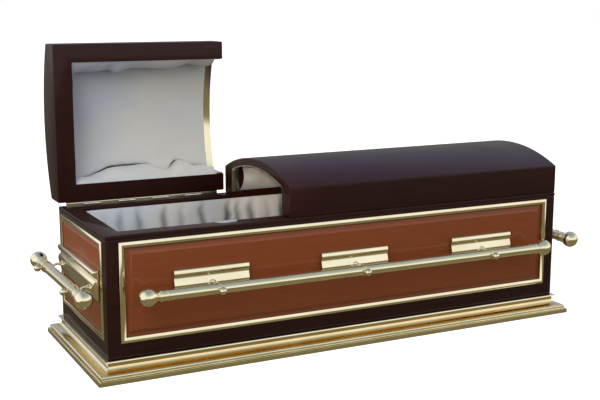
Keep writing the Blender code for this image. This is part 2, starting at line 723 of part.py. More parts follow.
def make_handle(side):
    """A bar handle with a ball tip at each end, arms, and the lugs that hold the arms to the panel."""
    long_side = side in ("front", "back")
    kind = "side" if long_side else "end"
    half = SIDE_BAR_HALF if long_side else END_BAR_HALF
    count = SIDE_ARM_COUNT if long_side else END_ARM_COUNT
    spacing = SIDE_ARM_SPACING if long_side else END_ARM_SPACING
    section = SIDE_LUG_SECTION if long_side else END_LUG_SECTION
    pivot = SIDE_PIVOT if long_side else END_PIVOT
    base = field_proud(side) + FIT
    places = [(i - (count - 1) / 2) * spacing for i in range(count)]

    bar_half = half - tip_length() - FIT
    bar = rod_mesh("bar", BAR_RADIUS, (-bar_half, 0, 0), (bar_half, 0, 0), BAR_SIDES)
    add_object(f"{side}_bar", bar, "brass", matrix=handle_matrix(side, 0, BAR_OFFSET))
    for number, sign in enumerate((-1, 1), 1):
        turn = Matrix.Rotation(math.radians(90) * sign, 4, "Y")
        place = handle_matrix(side, 0, BAR_OFFSET) @ Matrix.Translation((sign * half, 0, 0)) @ turn
        add_object(f"{side}_bar_tip_{number}", shared["tip"], "brass", matrix=place)

    if kind + "_arm" not in shared:
        span = BAR_OFFSET - base - pivot[0] - PIVOT_RADIUS - FIT
        width = SIDE_LUG_WIDTH if long_side else END_LUG_WIDTH
        shared[kind + "_arm"] = arm_mesh(kind + "_arm", span, pivot[1])
        shared[kind + "_lug"] = lug_mesh(kind + "_lug", width, section, pivot, [0] if long_side else places)
    for number, along in enumerate(places, 1):
        place = handle_matrix(side, along, BAR_OFFSET)
        add_object(f"{side}_arm_{number}", shared[kind + "_arm"], "brass", matrix=place)
        if long_side:
            place = handle_matrix(side, along, base)
            add_object(f"{side}_lug_{number}", shared["side_lug"], "brass", matrix=place)
    if not long_side:
        add_object(f"{side}_lug", shared["end_lug"], "brass", matrix=handle_matrix(side, 0, base))


def carry_to_place():
    """Hangs every piece that hangs on nothing yet on an empty at the middle of the box."""
    centre = bpy.data.objects.new("box_centre", None)
    centre.location.y = BOX_Y
    for thing in list(part_group.objects) + list(cutter_group.objects):
        if thing.parent is None:
            thing.parent = centre
    part_group.objects.link(centre)


def build():
    """Builds the whole casket."""
    start_scene()
    make_plinth()
    make_shell()
    make_rim()
    make_body_lining()
    for side in SIDES:
        make_panel(side)
        make_frame(side)
    for which in ("head", "foot"):
        make_lid(which)
    shared["tip"] = tip_mesh()
    for side in SIDES:
        make_handle(side)
    carry_to_place()
    bpy.context.view_layer.update()


build()
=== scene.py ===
"""The looks of a half-couch funeral casket: lacquered wood, polished brass and gathered satin, built round
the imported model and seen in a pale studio.

Metres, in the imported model's frame: +X runs to the foot, +Y to the hinged back and +Z up.
"""

import json
import math

import bmesh
import bpy
import numpy as np
from mathutils import Matrix, Vector, noise


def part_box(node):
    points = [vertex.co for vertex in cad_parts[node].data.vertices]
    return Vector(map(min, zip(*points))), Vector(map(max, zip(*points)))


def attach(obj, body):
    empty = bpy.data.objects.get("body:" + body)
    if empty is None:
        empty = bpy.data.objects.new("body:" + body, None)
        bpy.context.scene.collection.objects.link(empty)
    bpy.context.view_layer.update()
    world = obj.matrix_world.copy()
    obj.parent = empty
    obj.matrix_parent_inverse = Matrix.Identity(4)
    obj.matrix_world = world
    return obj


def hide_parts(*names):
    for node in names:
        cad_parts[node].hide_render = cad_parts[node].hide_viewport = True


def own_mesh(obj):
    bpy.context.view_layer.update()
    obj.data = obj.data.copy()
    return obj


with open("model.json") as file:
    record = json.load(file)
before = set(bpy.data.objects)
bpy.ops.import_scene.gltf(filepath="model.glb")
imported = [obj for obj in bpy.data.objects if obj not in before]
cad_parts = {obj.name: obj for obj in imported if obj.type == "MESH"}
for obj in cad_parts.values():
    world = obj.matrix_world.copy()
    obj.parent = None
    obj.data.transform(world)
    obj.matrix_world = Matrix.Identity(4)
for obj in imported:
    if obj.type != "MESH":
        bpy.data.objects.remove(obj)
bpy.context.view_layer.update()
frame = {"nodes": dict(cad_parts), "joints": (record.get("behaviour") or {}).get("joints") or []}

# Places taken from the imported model
shell_low, shell_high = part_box("body_shell")
rim_low, rim_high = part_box("body_rim")
MIDDLE = Vector(((shell_low.x + shell_high.x) / 2, (shell_low.y + shell_high.y) / 2, 0))
AT_MIDDLE = Matrix.Translation(MIDDLE)
HALF_LENGTH = (shell_high.x - shell_low.x) / 2
HALF_WIDTH = (shell_high.y - shell_low.y) / 2
BODY_TOP = rim_high.z
PLINTH_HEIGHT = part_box("plinth_moulding")[1].z
HINGES = {joint["name"]: Vector(joint["pos_m"]) for joint in frame["joints"]}

# Clearance between pieces, how near points are welded, and the finest round that an edge gets
FIT = 0.0003
WELD = 0.000005
FINE_ROUND = 0.0008

# Woodwork
WALL = 0.030
RIM_WIDTH = 0.072
FLOOR = 0.020
EDGE_ROUND = 0.004
POCKET_DEPTH = 0.008
# A panel's bevel as (width, how proud the field stands), and its groove as (width, depth)
PANEL_BEVELS = {"side": (0.017, 0.005), "end": (0.010, 0.003)}
PANEL_GROOVES = {"side": (0.009, 0.0070), "end": (0.005, 0.0060)}
PANEL_ROUND = 0.0035

# Lid sections
LID_WALL_HEIGHT = 0.1165
DOME_RISE = 0.069
DOME_THICKNESS = 0.031
LID_SIDE = 0.072
LID_END = 0.075
LID_FILLET = 0.020
TRIM_THICKNESS = 0.003
TRIM_START = 0.014
LID_LINING = 0.012
# How far a cutter runs past what it cuts
OVERCUT = 0.02

# The plinth's moulding
PLINTH_FOOT_REACH = 0.053
PLINTH_FOOT_HEIGHT = 0.018
PLINTH_QUIRK = 0.002
PLINTH_NOSE_REACH = 0.045
PLINTH_NOSE_HEIGHT = 0.015
PLINTH_NOSE_SETBACK = 0.001
PLINTH_COVE_REACH = 0.004
PLINTH_FILLET = 0.006
PLINTH_LIP_REACH = 0.0165
PLINTH_LIP_THICKNESS = 0.005
PLINTH_LEDGE = 0.070
PLINTH_LIP_SLOPE = 0.002
COVE_SQUARENESS = 0.7
COVE_STEPS = 20
# A face that leans less than this along X belongs to a long side.
LONG_SIDE_LEAN = 0.1

# The frames' moulding
FRAME_WIDTH = 0.020
# From the outer edge inward, as (place, height)
FRAME_SECTION = [
    (0.0, 0.0020), (-0.0002, 0.0042), (-0.0012, 0.0050), (-0.0088, 0.0084), (-0.0100, 0.0088),
    (-0.0112, 0.0084), (-0.0188, 0.0050), (-0.0198, 0.0042), (-0.0200, 0.0020),
]

# Handles
BALL_RADIUS = 0.0345
NECK_PLACE = 0.038
NECK_RADIUS = 0.0165
COLLAR_RADIUS = 0.0232
COLLAR_GROOVE = 0.0022
COLLAR_BEAD = 0.0026
COLLAR_END = 0.0735
RING_RADIUS = 0.0240
RING_WIDTH = 0.012
RING_ROUND = 0.0022
ARM_RADIUS = 0.0050
ARM_ARCH = 0.006
ARM_FLARE = 0.25
# How far an arm's stem and cap neck stay off the bar, and how far the stem runs into its pivot
ARM_BAR_GAP = 0.001
ARM_PIVOT_OVERLAP = 0.002
CAP_RADIUS = 0.0145
CAP_REACH = 0.037
CAP_NECK_RADIUS = 0.0062
PIVOT_RADIUS = 0.0052
PIVOT_BALL_RADIUS = 0.0066
PIVOT_LENGTH = 0.046
HOOD_RADIUS = 0.0125
HOOD_TUBE = 0.0030
HOOD_SINK = 0.0015
LUG_ROUND = 0.0012
# Each lug's section and its pivot's place, as (out from the panel, above the bar's middle)
SIDE_LUG_SECTION = [
    (0.000, 0.001), (0.013, 0.001), (0.0190, 0.003), (0.0205, 0.0105), (0.0125, 0.036),
    (0.0115, 0.0375), (0.0162, 0.046), (0.0182, 0.0540), (0.0178, 0.0570), (0.0152, 0.0668),
    (0.0125, 0.069), (0.000, 0.069),
]
SIDE_PIVOT = (0.0195, 0.0065)
END_LUG_SECTION = [
    (0.000, -0.036), (0.011, -0.036), (0.016, -0.018), (0.021, 0.002), (0.0240, 0.016),
    (0.0240, 0.026), (0.0215, 0.034), (0.0165, 0.0395), (0.0095, 0.043), (0.0125, 0.047),
    (0.018, 0.051), (0.0225, 0.057), (0.0248, 0.063), (0.0255, 0.067), (0.0235, 0.073),
    (0.018, 0.076), (0.000, 0.076),
]
END_PIVOT = (0.0245, 0.005)

# Piano hinges
HINGE_OFFSET = 0.0050
HINGE_RISE = 0.0060
BARREL_RADIUS = 0.0045
BORE_RADIUS = 0.0025
PIN_RADIUS = 0.0022
LEAF_THICKNESS = 0.0014
LEAF_HEIGHT = 0.022
KNUCKLE = 0.0734
KNUCKLE_GAP = 0.0006
BARREL_EASE = 0.0003
SCREW_RADIUS = 0.0036
SCREW_RISE = 0.0006

# Linings: painted shades run from 0, open to the light, to 1, deep in a fold. Unevenness is (depth, size,
# seed).
LINING_STEP = 0.004
# How far above its underside each lid's lining starts
ROLL_STARTS = {"head": 0.004, "foot": 0.017}
CREASE_DEPTH = 0.006
CREASE_WIDTH = 0.014
SLIT_DEPTH = 0.012
SLIT_WIDTH = 0.0032
# Painted shade along each crease: the width of its fine dark line, how far its patches reach, and the
# patches' base and unevenness
CREASE_SHADE_WIDTH = 0.0042
CREASE_SHADE_SOFTNESS = 0.018
CREASE_SHADE_PATCH_BASE = 0.0825
CREASE_SHADE_PATCH = (0.55, 0.045, 30.0)
# Painted shade on each lid's back roll, growing from the wood's edge to the crease
BACK_ROLL_SHADE = 0.24
# Painted shade laid evenly over each lid's whole lining, at least this deep
LID_SHADES = {"head": 0.09, "foot": 0.0}
WALL_STEPS = 40
DOME_STEPS = 120
DOME_CROWDING = 0.85
ROLL_SWELL = 0.012
ROLL_FOLDS = {-1: (0.0075, 0.050, 0.5), 1: (0.0075, 0.050, 2.5)}
# How the lining puckers beside a crease, and how it billows between the creases
PUCKER = (0.004, 0.030, 12.0)
PUCKER_REACH = 0.030
BILLOW = (0.0030, 0.12, 4.0)
BILLOW_EDGE = 0.06
END_TUCK = 0.006
END_TUCK_WIDTH = 0.015
END_PUFF = 0.008
END_PUFF_EDGE = 0.020
END_FOLD = (0.0012, 0.08, 21.0)
END_MIDDLE = 0.062
END_RINGS = 22
# Where the head lid's padded rolls meet its stretched middle: (place along X, reach from the lid's
# middle line), the front roll first
HEAD_FRONT_CREASE = [
    (-0.935, 0.199), (-0.881, 0.212), (-0.810, 0.214), (-0.769, 0.223), (-0.733, 0.208),
    (-0.696, 0.219), (-0.617, 0.219), (-0.529, 0.216), (-0.463, 0.225), (-0.425, 0.238),
    (-0.380, 0.230), (-0.348, 0.222), (-0.310, 0.229),
]
HEAD_BACK_CREASE = [
    (-0.935, 0.238), (-0.850, 0.235), (-0.811, 0.224), (-0.766, 0.208), (-0.713, 0.204),
    (-0.669, 0.203), (-0.600, 0.204), (-0.552, 0.219), (-0.505, 0.229), (-0.466, 0.199),
    (-0.435, 0.205), (-0.401, 0.222), (-0.354, 0.225), (-0.310, 0.237),
]
# The foot lid's creases, front and back: reach from the middle line, and the sway and wobble on it
FOOT_CREASES = [
    (0.207, (0.010, 0.11, 3.1), (0.006, 0.05, 8.7)), (0.205, (0.012, 0.14, 5.3), (0.006, 0.05, 2.2)),
]
# How deep the back crease is along X, as (place, share): it fades out in its middle
HEAD_BACK_DEPTH = [
    (-0.935, 0.25), (-0.87, 0.4), (-0.82, 1.0), (-0.62, 1.0), (-0.575, 0.5), (-0.54, 0.1), (-0.50, 0.1),
    (-0.47, 0.9), (-0.40, 1.0), (-0.31, 0.7),
]
# The body lining: how it stands inside the rim, its corners, and the gathers it hangs in
BODY_LINING_PROUD = 0.003
BODY_LINING_FLOOR = 0.030
BODY_LINING_CORNER = 0.045
BODY_LINING_LEVELS = 70
# Folds of the back wall where the head lid bares it, as (place along X, depth), and how they end
BACK_GATHERS = [
    (-0.846, 0.35), (-0.779, 0.75), (-0.694, 0.85), (-0.587, 1.0), (-0.505, 0.5), (-0.415, 0.95),
    (-0.300, 1.15), (-0.249, 0.7), (-0.183, 0.95), (-0.111, 0.4), (-0.039, 1.0),
]
BACK_GATHERS_END = 0.02
BACK_GATHERS_FADE = 0.06
GATHER_WIDTH = 0.017
GATHER_PERIOD = 0.092
GATHER_FOLD = 0.016
# Painted shade down in the gathers' valleys
GATHER_SHADE = 0.62
GATHER_SWAY = (0.012, 0.10, 8.0)
GATHER_DRIFT = (1.1, 0.30, 6.0)
GATHER_FULLNESS = (0.9, 0.13, 2.0)
BELLY = 0.006
BELLY_DIMPLE = (0.004, 0.07, 9.0)
# A fold of the front lining that laps over the rim: its middle, half its width, and its line across the
# rim's inner edge as (outward, above the rim)
TUFT_PLACE = -0.518
TUFT_REACH = 0.048
TUFT_LINE = [
    (-0.010, -0.030), (-0.009, -0.008), (-0.006, 0.0010), (0.006, 0.0012), (0.014, 0.0042), (0.028, 0.0036),
    (0.040, 0.0006),
]
# Painted shade on the tuft: all over, deeper within the hollow's reach of the rim's inner edge, and in
# uneven streaks
TUFT_SHADE = 0.45
TUFT_HOLLOW = 0.010
TUFT_HOLLOW_SHADE = 0.9
TUFT_CRIMP = (0.0012, 0.014, 5.0)
TUFT_SHADE_STREAK = (0.4, 0.016, 3.0)
# The padded floor: how it clears the walls and the boards, its crown, and its dimples, which fade out at
# its edge
MATTRESS_GAP = 0.006
MATTRESS_CROWN = 0.026
MATTRESS_EDGE = 0.020
MATTRESS_DIMPLES = [(0.004, 0.14, 7.0), (0.0015, 0.04, 3.0)]
MATTRESS_FLAT = 0.04
MATTRESS_STEPS = (240, 60)

# The camera, from the ground under the middle of the box
CAMERA_PLACE = Vector((-2.0846, -3.9757, 1.3752))
CAMERA_FORWARD = Vector((0.44339, 0.87709, -0.18472))
CAMERA_ROLL = 0.0020
CAMERA_LENS = 65.10

# What the gloss mirrors in front, on the left, low on the left and at the back, and what lights the
# casket, as colours at elevations in degrees
FRONT_BANDS = [
    (-90, (0.20, 0.167, 0.10)), (-50, (0.23, 0.21, 0.115)), (-25, (0.20, 0.178, 0.09)),
    (-3, (0.24, 0.21, 0.14)), (1, (1.13, 1.09, 1.06)), (20, (1.06, 1.08, 1.12)), (36, (0.57, 0.64, 0.65)),
    (60, (0.36, 0.45, 0.47)), (90, (0.29, 0.42, 0.46)),
]
LEFT_GROUND = [(-90, (0.20, 0.167, 0.10)), (-50, (0.22, 0.20, 0.11)), (-25, (0.19, 0.17, 0.09))]
LEFT_GROUND_EDGE = (0.22, 0.20, 0.14)
LEFT_GLOW = (1.15, 1.15, 1.15)
LEFT_SKY = [
    (34, (1.05, 1.1, 1.15)), (56, (0.85, 0.95, 1.0)), (70, (0.42, 0.55, 0.60)), (90, (0.29, 0.42, 0.46)),
]
LEFT_BANDS = [*LEFT_GROUND, (-3, LEFT_GROUND_EDGE), (1, LEFT_GLOW), *LEFT_SKY]
LOW_LEFT_BANDS = [*LEFT_GROUND, (-15, LEFT_GROUND_EDGE), (-11.5, LEFT_GLOW), *LEFT_SKY]
BACK_BANDS = [
    (-90, (0.18, 0.15, 0.09)), (-8, (0.16, 0.14, 0.10)), (3, (0.40, 0.38, 0.34)), (14, (0.42, 0.42, 0.44)),
    (30, (0.50, 0.54, 0.78)), (52, (0.36, 0.40, 0.60)), (90, (0.29, 0.42, 0.46)),
]
DOME_BANDS = [
    (-90, (0.40, 0.39, 0.38)), (-5, (0.45, 0.44, 0.43)), (5, (0.80, 0.81, 0.83)), (90, (0.84, 0.86, 0.90)),
]
# Where each part of the room lies, and how far round it fades in
FRONT_SIDE = ((0.0, -1.0, 0.0), -0.5, 0.1)
LEFT_SIDE = ((-0.985, 0.17, 0.0), 0.30, 0.62)
LOW_LEFT_SIDE = ((-0.97, -0.1, 0.0), 0.80, 0.90)
# The studio's floor: half its width, how far under the casket it is, and how it glows
FLOOR_REACH = 40
FLOOR_DROP = 0.0005
FLOOR_GLOW = 0.5

# The lamps' places, from the ground under the middle of the box, and what they are aimed at
WARM_WHITE = (1, 0.97, 0.93)
SOFT_LAMPS = {
    "key": {"place": (-3.0, -2.2, 3.2), "target": (-0.3, 0, 0.4), "power": 120, "size": 2.2},
    "right_fill": {"place": (1.9, -3.5, 2.2), "target": (0.7, -0.3, 0.3), "power": 22, "size": 1.6},
}
# A narrow lamp from the camera's side that lights the hollow under the foot lid; its target too is from
# the ground under the middle of the box
HOLLOW_PLACE = (-1.35, -2.5, 1.12)
HOLLOW_TARGET = (-0.16, 0.12, 0.635)
HOLLOW_ANGLE = 9.0
HOLLOW_POWER = 215
HOLLOW_COLOUR = (1, 0.86, 0.66)
HOLLOW_LAMP_RADIUS = 0.08

# Each side's outward direction across the ground, as (x, y)
SIDES = {"front": (0, -1), "back": (0, 1), "head_end": (-1, 0), "foot_end": (1, 0)}


def link(name, data):
    """A new object in the scene."""
    made = bpy.data.objects.new(name, data)
    bpy.context.scene.collection.objects.link(made)
    return made


def add_piece(mesh, place, finish, body, replaced=()):
    """Puts a mesh in its place as a piece of its name, which rides on a body and replaces CAD nodes."""
    mesh.transform(place)
    mesh.materials.clear()
    mesh.materials.append(materials[finish])
    piece = link(mesh.name, mesh)
    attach(piece, body)
    if replaced:
        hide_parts(*replaced)
    return piece


def tidy_mesh(mesh, angle=35):
    """Welds a mesh, turns its faces outward and shades it smooth up to the angle."""
    work = bmesh.new()
    work.from_mesh(mesh)
    bmesh.ops.remove_doubles(work, verts=work.verts, dist=WELD)
    bmesh.ops.recalc_face_normals(work, faces=work.faces)
    work.to_mesh(mesh)
    work.free()
    mesh.shade_smooth()
    mesh.set_sharp_from_angle(angle=math.radians(angle))
    return mesh


def rows_mesh(name, rows, loop=False, ring=False, caps=False, angle=35, painted_shades=None):
    """A mesh over rows of points. loop closes each row, ring joins the last row to the first.

    The optional values per point, from 0 to 1, are painted shade, deepest down in folds and creases.
    """
    count, width = len(rows), len(rows[0])
    faces = []
    for i in range(count if ring else count - 1):
        for j in range(width if loop else width - 1):
            here, there, step = i * width, (i + 1) % count * width, (j + 1) % width
            faces.append((here + j, here + step, there + step, there + j))
    if caps:
        faces.append(tuple(range(width)))
        faces.append(tuple((count - 1) * width + j for j in range(width)))
    mesh = bpy.data.meshes.new(name)
    mesh.from_pydata([tuple(point) for row in rows for point in row], [], faces)
    if painted_shades is not None:
        # The fold values are painted shade for the satin.
        mesh.attributes.new("fold", "FLOAT", "POINT").data.foreach_set("value", np.ravel(painted_shades))
    return tidy_mesh(mesh, angle)


def arc(centre, radius, start, end, steps):
    """Points on a circle from one angle to another, in degrees."""
    turns = [math.radians(start + (end - start) * i / steps) for i in range(steps + 1)]
    return [(centre[0] + radius * math.cos(t), centre[1] + radius * math.sin(t)) for t in turns]


def rounded(outline, radius, steps=3):
    """A closed outline with each corner rounded as far as its sides allow."""
    result = []
    count = len(outline)
    for index, corner in enumerate(outline):
        here = Vector(corner)
        back = Vector(outline[index - 1]) - here
        ahead = Vector(outline[(index + 1) % count]) - here
        reach = min(radius, back.length * 0.45, ahead.length * 0.45)
        start, end = here + back.normalized() * reach, here + ahead.normalized() * reach
        for i in range(steps + 1):
            share = i / steps
            result.append(tuple(start * (1 - share) ** 2 + here * 2 * share * (1 - share) + end * share**2))
    return result


def face_place(side, height=0.0):
    """A face's own frame: X along it, Y out of it and Z up, from a height above the ground at its middle."""
    out = Vector((*SIDES[side], 0))
    reach = HALF_LENGTH if side.endswith("end") else HALF_WIDTH
    along = Vector((0, 0, 1)).cross(-out)
    matrix = Matrix((along, out, Vector((0, 0, 1)))).transposed().to_4x4()
    matrix.translation = MIDDLE + out * reach + Vector((0, 0, height))
    return matrix


def kind_of(side):
    """Whether a side is one of the two long ones or an end."""
    return "end" if side.endswith("end") else "side"


def frame_rows(half_u, half_v, section):
    """Four corner rows of a mitred frame, each the section of (offset outward, height)."""
    corners = ((-1, -1), (1, -1), (1, 1), (-1, 1))
    return [[(a * (half_u + o), b * (half_v + o), h) for o, h in section] for a, b in corners]


def upright_rows(half_u, half_v, section):
    """A mitred frame's corner rows in a face's own frame, where the height points out of the face."""
    return [[(u, h, v) for u, v, h in row] for row in frame_rows(half_u, half_v, section)]


def measured(side, name):
    """A CAD node's middle, and its half sizes along a side and upward."""
    low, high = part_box(name)
    half = (high - low) / 2
    return (low + high) / 2, half.y if side.endswith("end") else half.x, half.z


def turned(name, profile, sides, **closing):
    """A mesh turned round the X axis from (radius, x) points."""
    turns = [2 * math.pi * i / sides for i in range(sides)]
    rows = [[(x, radius * math.cos(t), radius * math.sin(t)) for t in turns] for radius, x in profile]
    return rows_mesh(name, rows, loop=True, **closing)


def add_boolean(base, mesh, operation):
    """Has an object joined with a mesh, or cut by it, and gives the object made for the mesh."""
    other = link("other", mesh)
    step = base.modifiers.new(operation, "BOOLEAN")
    step.operation = operation
    step.solver = "EXACT"
    step.object = other
    return other


def joined(name, meshes, angle=35):
    """One mesh out of several closed ones, united where they overlap."""
    base = link(name, meshes[0])
    others = [add_boolean(base, mesh, "UNION") for mesh in meshes[1:]]
    return settled(base, others, angle)


def cut(name, mesh, cutters, edge_round, segments):
    """A mesh with its edges rounded and then the cutter meshes taken out of it."""
    base = link(name, mesh)
    soft = base.modifiers.new("soft_edges", "BEVEL")
    soft.width = edge_round
    soft.segments = segments
    soft.limit_method = "ANGLE"
    soft.angle_limit = math.radians(28)
    others = [add_boolean(base, cutter, "DIFFERENCE") for cutter in cutters]
    return settled(base, others)


def settled(base, others, angle=35):
    """The base object's mesh with its modifiers applied; it and the others are removed."""
    bpy.context.view_layer.update()
    mesh = bpy.data.meshes.new_from_object(base.evaluated_get(bpy.context.evaluated_depsgraph_get()))
    name = base.name
    for thing in (base, *others):
        bpy.data.objects.remove(thing)
    mesh.name = name
    return tidy_mesh(mesh, angle)


def prism(outline, start, end):
    """A solid along X between two places from a (y, z) outline."""
    return rows_mesh("prism", [[(x, y, z) for y, z in outline] for x in (start, end)], loop=True, caps=True)


def block(low, high):
    """A box mesh between two corners."""
    low, high = Vector(low), Vector(high)
    work = bmesh.new()
    place = Matrix.Translation((low + high) / 2) @ Matrix.Diagonal((*(high - low), 1))
    bmesh.ops.create_cube(work, size=1, matrix=place)
    mesh = bpy.data.meshes.new("block")
    work.to_mesh(mesh)
    work.free()
    return mesh


# Materials


def node(tree, kind, inputs=(), **settings):
    """Adds a shader node with its settings, and links or sets its inputs."""
    made = tree.nodes.new(kind)
    for name, value in settings.items():
        setattr(made, name, value)
    for name, value in dict(inputs).items():
        if isinstance(value, bpy.types.NodeSocket):
            tree.links.new(value, made.inputs[name])
        else:
            made.inputs[name].default_value = value
    return made


def base_material(name, values):
    """A Principled material with plain values, and its tree, shader and object coordinates."""
    material = bpy.data.materials.new(name)
    material.use_nodes = True
    tree = material.node_tree
    shader = tree.nodes["Principled BSDF"]
    for socket, value in values.items():
        shader.inputs[socket].default_value = value
    where = node(tree, "ShaderNodeTexCoord").outputs["Object"]
    return material, tree, shader, where


def ramp(tree, factor, low, high, start=0.3, end=0.7):
    """A colour ramp between two colours."""
    made = node(tree, "ShaderNodeValToRGB", {"Fac": factor})
    made.color_ramp.elements[0].position = start
    made.color_ramp.elements[0].color = (*low, 1)
    made.color_ramp.elements[1].position = end
    made.color_ramp.elements[1].color = (*high, 1)
    return made.outputs["Color"]


def spread(tree, factor, low, high, start=0.0, end=1.0):
    """A factor mapped from one range to another."""
    ends = {"Value": factor, "From Min": start, "From Max": end, "To Min": low, "To Max": high}
    return node(tree, "ShaderNodeMapRange", ends).outputs["Result"]


def noise_value(tree, where, scale, detail=3.0, stretch=(1, 1, 1)):
    """A noise texture's value at a scale per metre, stretched along an axis."""
    mapped = node(tree, "ShaderNodeMapping", {"Vector": where, "Scale": stretch}).outputs["Vector"]
    made = node(tree, "ShaderNodeTexNoise", {"Vector": mapped, "Scale": scale, "Detail": detail})
    return made.outputs["Fac"]


def bump(tree, shader, height, strength, distance):
    """Raises the surface by a height."""
    made = node(tree, "ShaderNodeBump", {"Height": height, "Strength": strength, "Distance": distance})
    tree.links.new(made.outputs["Normal"], shader.inputs["Normal"])


def wood_material(name, low, high, along, roughness, coat, coat_roughness):
    """Lacquered wood: fine grain that runs along one axis, under a clear coat."""
    values = {"Coat Weight": coat, "Coat Roughness": coat_roughness, "Specular IOR Level": 0.1}
    material, tree, shader, where = base_material(name, values)
    stretch = (0.06, 1, 1) if along == "x" else (1, 0.06, 1)
    grain = noise_value(tree, where, 130, 5, stretch)
    tree.links.new(ramp(tree, grain, low, high), shader.inputs["Base Color"])
    broad = noise_value(tree, where, 7, 2)
    tree.links.new(spread(tree, broad, roughness * 0.85, roughness * 1.15), shader.inputs["Roughness"])
    bump(tree, shader, grain, 0.05, 0.0004)
    return material


def brass_material(name, dull, bright):
    """Polished brass with faint tarnish, between two colours, and a fine brushed grain."""
    material, tree, shader, where = base_material(name, {"Metallic": 1.0})
    tarnish = noise_value(tree, where, 9, 4)
    tree.links.new(ramp(tree, tarnish, dull, bright), shader.inputs["Base Color"])
    tree.links.new(spread(tree, noise_value(tree, where, 25, 3), 0.09, 0.16), shader.inputs["Roughness"])
    bump(tree, shader, noise_value(tree, where, 900, 2), 0.015, 0.0001)
    return material


def satin_material():
    """Pale satin: fine weave, soft sheen, slight unevenness, and painted shade in its folds and towards the
    head end.
    """
    values = {"Roughness": 0.46, "Sheen Weight": 0.25, "Sheen Roughness": 0.4, "Specular IOR Level": 0.45}
    material, tree, shader, where = base_material("satin", values)
    along = node(tree, "ShaderNodeSeparateXYZ", {"Vector": where}).outputs["X"]
    # Painted shade: the lining turns darker and bluer towards the head end.
    head_end_shade = spread(tree, along, -0.25, 0.3, -0.95, -0.25)
    patchy = node(tree, "ShaderNodeMath", {0: noise_value(tree, where, 4, 3), 1: head_end_shade}, operation="ADD")
    cloudy = ramp(tree, patchy.outputs["Value"], (0.415, 0.445, 0.49), (0.50, 0.49, 0.465))
    # Painted shade down in folds and creases, read from each mesh's fold values.
    fold = node(tree, "ShaderNodeAttribute", attribute_name="fold").outputs["Fac"]
    shadow = ramp(tree, fold, (1, 1, 1), (0.13, 0.13, 0.14), 0.0, 1.0)
    colour = node(tree, "ShaderNodeVectorMath", {0: cloudy, 1: shadow}, operation="MULTIPLY")
    tree.links.new(colour.outputs["Vector"], shader.inputs["Base Color"])
    threads = noise_value(tree, where, 700, 2, (1, 0.25, 0.25))
    bump(tree, shader, threads, 0.10, 0.0004)
    return material


materials = {
    "brass": brass_material("polished_brass", (0.80, 0.72, 0.50), (0.88, 0.80, 0.58)),
    # The long coves' deeper gold is a painted reflection of the tan side panels.
    "painted_cove_reflection": brass_material("gilt_brass", (0.83, 0.65, 0.34), (0.91, 0.73, 0.42)),
    "satin": satin_material(),
    "dark": wood_material(
        "dark_lacquer", (0.0142, 0.0032, 0.0023), (0.0212, 0.0049, 0.0036), "x",
        roughness=0.45, coat=0.24, coat_roughness=0.05,
    ),
    "side_panel": wood_material(
        "tan_lacquer_side", (0.160, 0.037, 0.0098), (0.183, 0.0435, 0.0117), "x",
        roughness=0.50, coat=0.7, coat_roughness=0.08,
    ),
    # The end panels' tan is painted lighter than the sides', standing in for the stronger light on the ends.
    "end_panel": wood_material(
        "tan_lacquer_end_with_painted_light", (0.215, 0.055, 0.0175), (0.245, 0.064, 0.0205), "y",
        roughness=0.50, coat=0.3, coat_roughness=0.12,
    ),
}


# Woodwork


def dome_circle(depth):
    """The radius of a lid's dome at a depth in it, and how high its centre is above the lid's underside."""
    radius = (HALF_WIDTH**2 + DOME_RISE**2) / (2 * DOME_RISE)
    return radius - depth, LID_WALL_HEIGHT + DOME_RISE - radius


def dome_outline(inset_side, inset_top, low, fillet, steps=24):
    """The lid's section at one depth inside its outer face, as (y, z) points from front to back.

    z counts from the lid's underside. A fillet rounds the corner between wall and dome.
    """
    radius, centre_z = dome_circle(inset_top)
    reach = HALF_WIDTH - inset_side
    if fillet:
        across = reach - fillet
        up = math.sqrt((radius - fillet) ** 2 - across**2)
        meet = math.degrees(math.atan2(up, across))
        corner = arc((across, centre_z + up), fillet, 0, meet, steps // 4)
    else:
        meet = math.degrees(math.acos(reach / radius))
        corner = [(reach, centre_z + math.sqrt(radius**2 - reach**2))]
    half_dome = arc((0, centre_z), radius, meet, 90, steps)
    right = [(reach, low)] + corner + half_dome[1:]
    left = [(-y, z) for y, z in reversed(right[:-1])]
    return [(y, z) for y, z in reversed(right + left)]


def lid_matrix(which):
    """From a lid's closed coordinates (x, y about the box's middle, z above its underside) to its rest."""
    hinge = HINGES[f"{which}_lid_hinge"]
    closed = Matrix.Translation((0, MIDDLE.y, BODY_TOP + FIT))
    if which == "foot":
        return closed
    turn = Matrix.Rotation(math.radians(-90), 4, "X")
    return Matrix.Translation(hinge) @ turn @ Matrix.Translation(-hinge) @ closed


def lid_span(which):
    """Where a lid's leaf starts and ends along X."""
    low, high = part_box(f"{which}_lid_shell")
    return low.x, high.x


def make_lid_shell(which):
    """A leaf's domed wooden shell, hollow below and open at the parting."""
    start, end = lid_span(which)
    hollow_start = start + LID_END if which == "head" else start - OVERCUT
    hollow_end = end + OVERCUT if which == "head" else end - LID_END
    inner = prism(dome_outline(LID_SIDE, DOME_THICKNESS, -OVERCUT, LID_FILLET), hollow_start, hollow_end)
    solid = prism(dome_outline(0, 0, 0, 0, 40), start, end)
    mesh = cut(f"{which}_lid_wood", solid, [inner], EDGE_ROUND, 4)
    add_piece(mesh, lid_matrix(which), "dark", f"{which}_lid", [f"{which}_lid_shell"])


